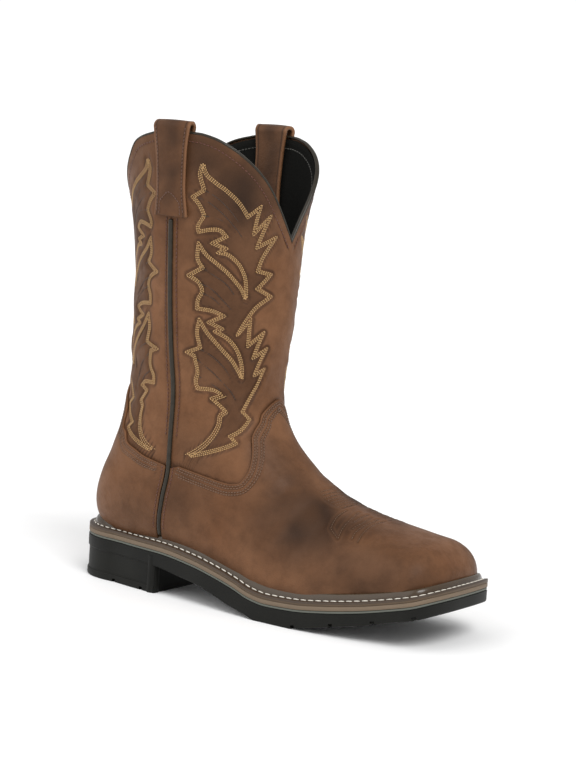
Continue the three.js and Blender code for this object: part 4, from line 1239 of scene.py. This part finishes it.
class BOOT_OT_seams(bpy.types.Operator):
    """Brown stitch rows: beside the piping, round the collar, on the vamp, the counter and the toe"""

    bl_idname = "boot.seams"
    bl_label = "Seam stitching"

    def execute(self, context):
        sizes, colours = context.scene.boot_sizes, context.scene.boot_colours
        form = Form(sizes)
        brown = kept("seam_thread", lambda: spun_thread("seam_thread", colours.seam_thread, 0.5))
        shape = stitch_shape()
        runs = [form_run(form, u, v, LEATHER_OUTER - 0.05, 2.8, 2.1) for u, v in shaft_rows(form)]
        runs += [form_run(form, u, v, OVERLAY_OUTER - 0.02, 2.6, 2.0) for u, v in side_rows(form)]
        light = kept("topstitch_thread", lambda: spun_thread("topstitch_thread", "6c4b31", 0.5))
        top = [form_run(form, u, v, OVERLAY_OUTER, 2.1, 1.7) for u, v in foot_rows(form)]
        dress(sew("top_stitches", form, top, 0.48, shape), [light], "leather_dark")
        around = np.linspace(-math.pi, math.pi, 1000)
        facing = []
        for half in (around[:500], around[500:]):
            u, v = shifted(form, half, form.rim_row(half), 7)
            facing.append(form_run(form, u, v, -3.5, 2.6, 2.2))
        grey = kept("facing_thread", lambda: spun_thread("facing_thread", "3f3d37", 0.6))
        dress(sew("facing_stitches", form, facing, 0.5, shape), [grey], "leather_dark")
        toe = [form_run(form, u, v, OVERLAY_OUTER - 0.2, 2.1, 1.7) for u, v in vamp_lines()]
        olive = kept("toe_thread", lambda: spun_thread("toe_thread", "6a4c2f", 0.5))
        dress(sew("toe_stitches", form, toe, 0.24, shape), [olive], "leather_dark")
        dress(sew("seam_stitches", form, runs, 0.5, shape), [brown], "leather_dark")
        return {"FINISHED"}


def tube(name, form, path, outward, half_width, half_height, along, closed, taper=0.0):
    """A round cord along a path of points, flattened to its half width and half height."""
    path, outward = np.asarray(path), unit(np.asarray(outward))
    ahead = np.roll(path, -1, axis=0) - np.roll(path, 1, axis=0) if closed else np.gradient(path, axis=0)
    aside = unit(np.cross(outward, unit(ahead)))
    count = len(path)

    def place(s, t):
        at = t * (count if closed else count - 1)
        low = np.floor(at).astype(int)
        part = (at - low)[:, None]
        pick = lambda values: values[low % count] * (1 - part) + values[(low + 1) % count] * part
        angle = 2 * math.pi * s
        shrink = np.ones(len(s))
        if taper:
            shrink = np.sqrt(np.clip(1 - np.clip(1 - np.minimum(t, 1 - t) / taper, 0, 1) ** 2, 0, 1))
        sideways = (np.cos(angle) * half_width * shrink)[:, None]
        upwards = (np.sin(angle) * half_height * shrink)[:, None]
        return pick(path) + pick(aside) * sideways + pick(outward) * upwards

    return sheet(name, form, 14, along, place, closed=True)


class BOOT_OT_trim(bpy.types.Operator):
    """Dark piping down both side seams and the rolled edge of the collar"""

    bl_idname = "boot.trim"
    bl_label = "Piping and binding"

    def execute(self, context):
        form = Form(context.scene.boot_sizes)
        colours = context.scene.boot_colours
        trim = kept("coated_piping", lambda: patent_trim(colours))
        for side, node in ((1, "side_piping_lateral"), (-1, "side_piping_medial")):
            z = np.linspace(form.welt_top(form.seam_x(form.heel)) + 4.6, form.height - 58.5, 200)
            u, v = form.side_at(form.seam_x(z), z, side)
            path, outward = form.off(u, v, -0.1), form.normal(u, v)
            piece = tube(node + "_cord", form, path, outward, 1.6, 1.75, 200, False, 0.006)
            dress(piece, [trim], "leather_dark", node)
        u = np.linspace(-math.pi, math.pi, 361)[:-1]
        v = form.rim_row(u)
        centre = form.off(u, v, -2.2)
        ahead = np.roll(centre, -1, axis=0) - np.roll(centre, 1, axis=0)
        upward = unit(np.cross(unit(ahead), form.normal(u, v)))
        upward *= np.sign(upward[:, 2:3])
        piece = tube("collar_binding_roll", form, centre + upward * 1.25, upward, 1.55, 0.95, 720, True)
        dress(piece, [trim], "leather_dark", "collar_binding")
        return {"FINISHED"}


STRAP_CENTRE, STRAP_HALF, STRAP_DROP, STRAP_RISE, STRAP_THICK = 90.0, 14.0, 57.0, 6.5, 2.6


class BOOT_OT_straps(bpy.types.Operator):
    """Pull straps folded over the sides of the collar, with their stitch rows"""

    bl_idname = "boot.straps"
    bl_label = "Pull straps"

    def execute(self, context):
        sizes, colours = context.scene.boot_sizes, context.scene.boot_colours
        form = Form(sizes)
        leather = kept(
            "strap_leather", lambda: pull_up_leather("strap_leather", colours, gloss=0.46, depth=1.1)
        )
        edge = kept("raw_leather_edge", lambda: raw_edge())
        thread = kept("strap_thread", lambda: spun_thread("strap_thread", "5a341c", 0.5))
        waist = monotone((0, 0.35, 0.7, 1), (0.94, 0.82, 0.86, 1))
        low = form.height - STRAP_DROP
        fold = form.height + STRAP_RISE - STRAP_THICK - 1.4
        outer, inner = LEATHER_OUTER + 0.4, -3.4 - 0.4
        lean_out, lean_in = 1.3, 0.9
        middle = (outer + lean_out + inner - lean_in) / 2
        reach = (outer + lean_out - inner + lean_in) / 2
        shape = stitch_shape()
        for side, label in ((1, "lateral"), (-1, "medial")):

            def place(s, t, side=side, lift=0.0):
                leg = np.clip(np.where(t < 0.46, t / 0.46, (1 - t) / 0.43), 0, 1)
                turn = np.clip((t - 0.46) / 0.11, 0, 1) * math.pi
                z = np.where(t < 0.5, low, low + 4) + (fold - np.where(t < 0.5, low, low + 4)) * leg
                x = STRAP_CENTRE + (2 * s - 1) * STRAP_HALF * waist(leg)
                rim_top = np.minimum(z, 0.985 * form.height)
                u, v = form.side_at(x, rim_top, side)
                surface = form.point(u, v)
                surface[:, 2] += z - rim_top
                flat = form.normal(u, v) * np.array([1, 1, 0])
                flat = unit(flat)
                thick = STRAP_THICK + lift
                bow = 0.5 * (1 - (2 * s - 1) ** 2) * np.clip(leg * 4, 0, 1)
                out_leg = outer + lean_out * leg**3 + thick + bow
                in_leg = inner - lean_in * leg**3 - thick
                legs = surface + flat * np.where(t < 0.5, out_leg, in_leg)[:, None]
                ray = flat * np.cos(turn)[:, None] + np.array([0, 0, 1]) * (np.sin(turn) * 0.75)[:, None]
                full = flat * np.cos(turn)[:, None] + np.array([0, 0, 1]) * np.sin(turn)[:, None]
                over = surface + flat * middle + ray * reach + full * (thick + bow * (turn < 1.5))[:, None]
                folded = ((turn > 0) & (turn < math.pi))[:, None]
                p = np.where(folded, over, legs)
                worn = np.exp(-(((s - 0.55) / 0.34) ** 2)) * np.clip(3 * leg, 0, 1)
                shade = 0.3 + 0.3 * soft_noise(p, 12, 5.0) + 0.36 * worn
                # Painted shade along the strap's stitch rows.
                shade = np.maximum(shade, 0.85 * np.exp(-(((np.abs(2 * s - 1) - 0.83) / 0.06) ** 2)))
                stretch = np.exp(-(((np.abs(2 * s - 1) - 1) / 0.07) ** 2)) * 0.8
                return p, {"shade": np.clip(shade, 0, 0.9), "stretch": stretch}

            piece = sheet("pull_strap_" + label + "_leather", form, 24, 150, place)
            face_strap(piece)
            thicken(piece, 0.0024, 1)
            dress(piece, [leather, edge], "leather_brown", "pull_strap_" + label)
            runs = []
            t = np.linspace(0.02, 0.47, 200)
            for s in (0.085, 0.915):
                points = place(np.full(t.shape, s), t, lift=0.1)[0]
                outwards = np.tile([0.0, -side, 0.05], (len(t), 1))
                runs.append(stitch_run(points, outwards, 2.5, 1.9))
            gable = flowing([(0.17, 0.008), (0.17, 0.075), (0.5, 0.125), (0.83, 0.075), (0.83, 0.008)], 0.01)
            points = place(gable[:, 0], gable[:, 1], lift=0.1)[0]
            runs.append(stitch_run(points, np.tile([0.0, -side, 0.05], (len(gable), 1)), 2.3, 1.8))
            dress(sew("pull_strap_" + label + "_stitches", form, runs, 0.5, shape), [thread], "leather_dark")
        return {"FINISHED"}


def face_strap(piece):
    """Turns a folded strap's faces away from its own middle."""
    mesh = piece.data
    centre = sum((v.co for v in mesh.vertices), Vector()) / len(mesh.vertices)
    score = sum(p.normal.dot(p.center - centre) for p in mesh.polygons)
    if score < 0:
        mesh.flip_normals()


class Plan:
    """Outline of the sole from the heel's back round the lateral side, in mm, with matching stations."""

    def __init__(self, form, count=480):
        lateral, medial = monotone(PLAN_STATIONS, PLAN_LATERAL), monotone(PLAN_STATIONS, PLAN_MEDIAL)
        share = 0.5 - 0.5 * np.cos(math.pi * np.linspace(0, 1, 6001))
        ends = end_cap(share, PLAN_TOE, 1, PLAN_TOE_POWER) * end_cap(-share, -PLAN_HEEL, 0, PLAN_HEEL_POWER)
        out = np.stack([share * form.length, -lateral(share) * ends * form.width], axis=1)
        home = np.stack([share * form.length, medial(share) * ends * form.width], axis=1)
        step = np.linalg.norm(np.diff(out, axis=0), axis=1) + np.linalg.norm(np.diff(home, axis=0), axis=1)
        travelled = np.r_[0, np.cumsum(step)]
        at = np.linspace(0, travelled[-1], count // 2 + 1)
        pick = lambda line: np.stack([np.interp(at, travelled, line[:, k]) for k in range(2)], axis=1)
        self.points = np.concatenate([pick(out), pick(home)[::-1][1:-1]])
        ahead = unit(np.roll(self.points, -1, axis=0) - np.roll(self.points, 1, axis=0))
        self.inward = np.stack([-ahead[:, 1], ahead[:, 0]], axis=1)
        self.count = count

    def at(self, s, inset, pulled):
        """Points at a share s of the outline, moved inwards, or pulled to the middle between both sides."""
        k = s * self.count + 1e-6
        low = np.floor(k).astype(int)
        part = (k - low)[:, None]

        def moved(index):
            index = index % self.count
            return self.points[index] + self.inward[index] * inset[:, None]

        own = moved(low) * (1 - part) + moved(low + 1) * part
        other = moved(-low) * (1 - part) + moved(-low - 1) * part
        return own * (1 - pulled[:, None] / 2) + other * (pulled[:, None] / 2)


def turned(name, form, profile, along, closed_profile):
    """A layer of the sole: a profile of (inset, pull to the middle, height line) carried round the plan."""
    plan = Plan(form)
    corners = list(profile) + ([profile[0]] if closed_profile else [])
    count = len(corners) - 1
    inset = np.array([c[0] for c in corners], float)
    pulled = np.array([c[1] for c in corners], float)

    def place(s, t):
        k = np.clip(t * count, 0, count)
        low = np.minimum(np.floor(k + 1e-6).astype(int), count - 1)
        part = k - low
        inwards = inset[low] * (1 - part) + inset[low + 1] * part
        to_middle = pulled[low] * (1 - part) + pulled[low + 1] * part
        flat = plan.at(s, inwards, to_middle)
        heights = np.stack([c[2](flat[:, 0]) for c in corners])
        n = np.arange(len(s))
        z = heights[low, n] * (1 - part) + heights[low + 1, n] * part
        return np.concatenate([flat, z[:, None]], axis=1)

    return sheet(name, form, along, count, place, closed=True)


class BOOT_OT_welt(bpy.types.Operator):
    """Storm welt with its bead, and the white stitches in its groove"""

    bl_idname = "boot.welt"
    bl_label = "Welt"

    def execute(self, context):
        sizes, colours = context.scene.boot_sizes, context.scene.boot_colours
        form = Form(sizes)
        top = form.welt_top
        rim = lambda rise: (lambda x: top(x) + rise)
        profile = (
            (0.3, 0, rim(-2.7)), (0.0, 0, rim(-2.4)), (0.0, 0, rim(-1.3)), (0.0, 0, rim(-0.35)),
            (0.35, 0, rim(0.05)), (1.4, 0, rim(0.25)), (2.5, 0, rim(0.35)), (2.9, 0, rim(0.25)),
            (3.2, 0, rim(-0.15)), (3.7, 0, rim(-0.2)), (4.0, 0, rim(0.3)), (4.15, 0, rim(1.2)),
            (4.45, 0, rim(2.4)), (4.95, 0, rim(3.6)), (5.6, 0, rim(4.6)), (6.4, 0, rim(5.1)),
            (7.2, 0, rim(4.9)), (8.6, 0, rim(3.6)), (12.0, 0, rim(1.0)), (12.5, 0, rim(-2.7)),
        )
        piece = turned("storm_welt", form, profile, 480, True)
        edge = kept("welt_edge", lambda: moulded_pvc("welt_edge", "564430", 0.62))
        strip = kept("welt_strip", lambda: moulded_pvc("welt_strip", colours.welt, 0.5))
        bead = kept("welt_bead", lambda: moulded_pvc("welt_bead", "40311f", 0.27, 0.2))
        dress(piece, [edge, strip, bead], "welt_brown", "welt")
        plan = Plan(form)
        points = piece.data.vertices
        index = np.zeros(len(piece.data.polygons), int)
        outline = kdtree.KDTree(plan.count)
        for i, (x, y) in enumerate(plan.points):
            outline.insert(Vector((x, y, 0)), i)
        outline.balance()
        for polygon in piece.data.polygons:
            centre = polygon.center / MM
            x = centre.x + form.length / 2
            inset = outline.find(Vector((x, centre.y, 0)))[2]
            rise = centre.z - top(x)
            if inset > 3.85 and rise > 0:
                index[polygon.index] = 2
            elif inset > 0.25 and rise > -1:
                index[polygon.index] = 1
        piece.data.polygons.foreach_set("material_index", index)
        white = kept("welt_thread", lambda: spun_thread("welt_thread", colours.welt_thread, 0.55))
        s = np.linspace(0, 1, 2400)
        flat = plan.at(s, np.full(s.shape, 3.45), np.zeros(s.shape))
        line = np.concatenate([flat, (top(flat[:, 0]) + 0.42)[:, None]], axis=1)
        upward = np.tile([0.0, 0, 1], (len(s), 1))
        starts, ends, normals = stitch_run(line, upward, sizes.welt_pitch / MM, 4.9)
        along = unit(ends - starts)
        aside = np.cross(normals, along)
        runs = [(starts + aside * 0.28, ends - aside * 0.28, normals)]
        dress(sew("welt_stitches", form, runs, 0.64, stitch_shape()), [white], "welt_brown")
        return {"FINISHED"}


class BOOT_OT_layers(bpy.types.Operator):
    """Taupe midsole and the thin grey layer below it"""

    bl_idname = "boot.layers"
    bl_label = "Midsole layers"

    def execute(self, context):
        form = Form(context.scene.boot_sizes)
        colours = context.scene.boot_colours
        top = form.welt_top
        line = lambda drop: (lambda x: top(x) - drop)
        midsole = (
            (30, 1, line(5.7)), (6, 0, line(5.7)), (0.2, 0, line(5.7)), (0, 0, line(5.5)), (0, 0, line(4.4)),
            (0, 0, line(3.0)), (0.2, 0, line(2.8)), (6, 0, line(2.8)), (30, 1, line(2.8)),
        )
        piece = turned("midsole_layer", form, midsole, 480, False)
        edge = kept("midsole_edge", lambda: moulded_pvc("midsole_edge", colours.edge, 0.66, 0.18))
        dress(piece, [edge], "midsole_taupe", "midsole")
        thin = (
            (30, 1, line(7.4)), (6, 0, line(7.4)), (0.5, 0, line(7.4)), (0.3, 0, line(7.2)),
            (0.3, 0, line(6.2)), (0.5, 0, line(6.0)), (6, 0, line(6.0)), (30, 1, line(6.0)),
        )
        piece = turned("grey_layer", form, thin, 480, False)
        grey = kept("grey_rubber_layer", lambda: moulded_pvc("grey_rubber_layer", colours.layer, 0.6, 0.12))
        dress(piece, [grey], "midlayer_grey", "mid_layer")
        return {"FINISHED"}


HEEL_BREAST, LUG_DEPTH, LUG_GROOVE = 81.0, 2.4, 3.0


def boolean(piece, other, operation):
    """Joins or cuts a piece with another, which is used up."""
    activate(piece)
    cut = piece.modifiers.new("cut", "BOOLEAN")
    cut.operation = operation
    cut.object = other
    cut.solver = "MANIFOLD"
    bpy.ops.object.modifier_apply(modifier=cut.name)
    bpy.data.objects.remove(other)


class BOOT_OT_outsole(bpy.types.Operator):
    """Black rubber outsole with its heel, lugs and notched edge"""

    bl_idname = "boot.outsole"
    bl_label = "Outsole"

    def execute(self, context):
        form = Form(context.scene.boot_sizes)
        colours = context.scene.boot_colours
        top = form.welt_top
        under = lambda rise: (lambda x: np.minimum(form.under(x) + rise, top(x) - 8.4))
        crown = lambda drop: (lambda x: top(x) - drop)
        layer = (
            (30, 1, under(0)), (8, 0, under(0)), (0.8, 0, under(0)), (0.2, 0, under(0.5)),
            (0, 0, under(1.4)), (0, 0, crown(9.0)), (0, 0, crown(8.0)), (0.3, 0, crown(7.7)),
            (8, 0, crown(7.7)), (30, 1, crown(7.7)),
        )
        sole = turned("rubber_outsole", form, layer, 480, False)
        level = lambda z: (lambda x: np.full(np.shape(x), float(z)))
        block = (
            (30, 1, level(0)), (8, 0, level(0)), (1.0, 0, level(0)), (0.3, 0, level(0.5)),
            (0.1, 0, level(1.4)), (0.1, 0, level(4.6)), (0.35, 0, level(5.0)), (0.9, 0, level(5.3)),
            (0.9, 0, crown(16.5)), (0.5, 0, crown(16.0)), (0.1, 0, crown(15.6)), (0.1, 0, crown(9)),
            (8, 0, crown(9)), (30, 1, crown(9)),
        )
        heel = turned("rubber_heel", form, block, 480, False)
        activate(heel)
        bpy.ops.object.mode_set(mode="EDIT")
        bpy.ops.mesh.select_all(action="SELECT")
        bpy.ops.mesh.bisect(
            plane_co=((HEEL_BREAST - form.length / 2) * MM, 0, 0), plane_no=(1, 0, 0),
            use_fill=True, clear_outer=True,
        )
        bpy.ops.object.mode_set(mode="OBJECT")
        boolean(sole, heel, "UNION")
        posts = []
        for y in (-1, 1):
            deselect_all()
            share = (HEEL_BREAST - 3.2) / form.length
            half = monotone(PLAN_STATIONS, PLAN_LATERAL if y < 0 else PLAN_MEDIAL)(share) * form.width
            bpy.ops.mesh.primitive_cylinder_add(
                vertices=32, radius=4.2 * MM, depth=26 * MM,
                location=((HEEL_BREAST - 3.2 - form.length / 2) * MM, y * (half - 3.8) * MM, 13 * MM),
            )
            post = bpy.context.object
            post.name = "heel_post"
            bpy.ops.object.transform_apply(location=True, rotation=True, scale=True)
            posts.append(post)
        for post in posts:
            boolean(sole, post, "UNION")
        stations = [(share, form.under(share * form.length)) for share in LUG_STATIONS]
        stations += [(share, 0.0) for share in HEEL_LUG_STATIONS]
        for share, z in stations:
            x = share * form.length
            slope = 0.0
            if share > 0.3:
                slope = -math.atan2(float(form.under(x + 4) - form.under(x - 4)), 8)
            deselect_all()
            bpy.ops.mesh.primitive_cube_add(size=1, location=((x - form.length / 2) * MM, 0, float(z) * MM))
            cutter = bpy.context.object
            cutter.scale = (LUG_GROOVE * MM, 3 * form.width * MM, 2 * LUG_DEPTH * MM)
            cutter.rotation_euler = (0, slope, 0)
            bpy.ops.object.transform_apply(location=True, rotation=True, scale=True)
            boolean(sole, cutter, "DIFFERENCE")
        activate(sole)
        bpy.ops.object.shade_smooth_by_angle(angle=math.radians(32))
        rubber = kept("moulded_rubber", lambda: moulded_rubber(colours))
        dress(sole, [rubber], "rubber_black", "outsole")
        return {"FINISHED"}


class BOOT_OT_stage(bpy.types.Operator):
    """Pale floor, soft lights and the camera"""

    bl_idname = "boot.stage"
    bl_label = "Stage"

    def execute(self, context):
        scene = context.scene
        deselect_all()
        bpy.ops.mesh.primitive_grid_add(x_subdivisions=8, y_subdivisions=8, size=80)
        floor = bpy.context.object
        floor.name = "studio_floor"
        floor.data.materials.append(studio_paper())
        floor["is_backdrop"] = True
        world = bpy.data.worlds.new("soft_studio")
        world.use_nodes = True
        tree = world.node_tree
        tree.nodes.clear()
        sky = add_node(tree, "ShaderNodeBackground", {"Color": (1, 1, 1, 1), "Strength": 0.66})
        white = add_node(tree, "ShaderNodeBackground", {"Color": (1, 1, 1, 1), "Strength": 1.05})
        seen = add_node(tree, "ShaderNodeLightPath").outputs["Is Camera Ray"]
        mixed = add_node(tree, "ShaderNodeMixShader", links={0: seen, 1: sky.outputs[0], 2: white.outputs[0]})
        add_node(tree, "ShaderNodeOutputWorld", links={"Surface": mixed.outputs[0]})
        scene.world = world
        for name, toward, strength, spread in (
            ("key_from_toe", (0.8, -0.5, 1.0), 1.75, 30), ("fill_from_heel", (-1.0, -1.3, 1.2), 0.8, 60),
        ):
            light = bpy.data.lights.new(name, "SUN")
            light.energy = strength
            light.angle = math.radians(spread)
            lamp = bpy.data.objects.new(name, light)
            lamp.rotation_euler = Vector(toward).to_track_quat("Z", "Y").to_euler()
            scene.collection.objects.link(lamp)
        azimuth, height, roll = math.radians(33.99), math.radians(7.173), math.radians(3.908)
        level = math.cos(height)
        back = Vector((math.sin(azimuth) * level, -math.cos(azimuth) * level, math.sin(height)))
        right = Vector((math.cos(azimuth), math.sin(azimuth), 0))
        upward = back.cross(right)
        turned_right = right * math.cos(roll) + upward * math.sin(roll)
        turned_up = upward * math.cos(roll) - right * math.sin(roll)
        camera = bpy.data.objects.new("camera", bpy.data.cameras.new("camera"))
        camera.data.lens = 106.66
        camera.data.sensor_width = 36
        place = Vector((3.471, -1.693, 153.887)) * MM + back * 1.54953
        camera.matrix_world = Matrix(
            [
                [turned_right[i], turned_up[i], back[i], place[i]]
                for i in range(3)
            ]
            + [[0, 0, 0, 1]]
        )
        scene.collection.objects.link(camera)
        scene.camera = camera
        scene.view_settings.view_transform = "Standard"
        return {"FINISHED"}


OPERATORS = (
    BOOT_OT_shaft,
    BOOT_OT_lining,
    BOOT_OT_vamp,
    BOOT_OT_counter,
    BOOT_OT_embroidery,
    BOOT_OT_seams,
    BOOT_OT_trim,
    BOOT_OT_straps,
    BOOT_OT_welt,
    BOOT_OT_layers,
    BOOT_OT_outsole,
    BOOT_OT_stage,
)


class BOOT_PT_panel(bpy.types.Panel):
    """Sizes, colours and pieces of the boot"""

    bl_label = "Western Work Boot"
    bl_idname = "BOOT_PT_panel"
    bl_space_type = "VIEW_3D"
    bl_region_type = "UI"
    bl_category = "Boot"

    def draw(self, context):
        for group in (context.scene.boot_sizes, context.scene.boot_colours):
            box = self.layout.box()
            for name in group.bl_rna.properties.keys():
                if name not in ("rna_type", "name"):
                    box.prop(group, name)
        for operator in OPERATORS:
            self.layout.operator(operator.bl_idname)


CLASSES = (BootSizes, BootColours) + OPERATORS + (BOOT_PT_panel,)


def register():
    """Adds the classes and their settings."""
    for made in CLASSES:
        bpy.utils.register_class(made)
    bpy.types.Scene.boot_sizes = bpy.props.PointerProperty(type=BootSizes)
    bpy.types.Scene.boot_colours = bpy.props.PointerProperty(type=BootColours)


def unregister():
    """Removes the classes and their settings."""
    del bpy.types.Scene.boot_colours
    del bpy.types.Scene.boot_sizes
    for made in reversed(CLASSES):
        bpy.utils.unregister_class(made)


def main():
    """Makes the boot and its stage."""
    register()
    for operator in OPERATORS:
        group, action = operator.bl_idname.split(".")
        getattr(getattr(bpy.ops, group), action)()
    boxes = {"cad": CAD_BOX, "visual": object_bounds()}
    plain = {name: [[float(c) for c in corner] for corner in box] for name, box in boxes.items()}


if __name__ == "__main__":
    main()
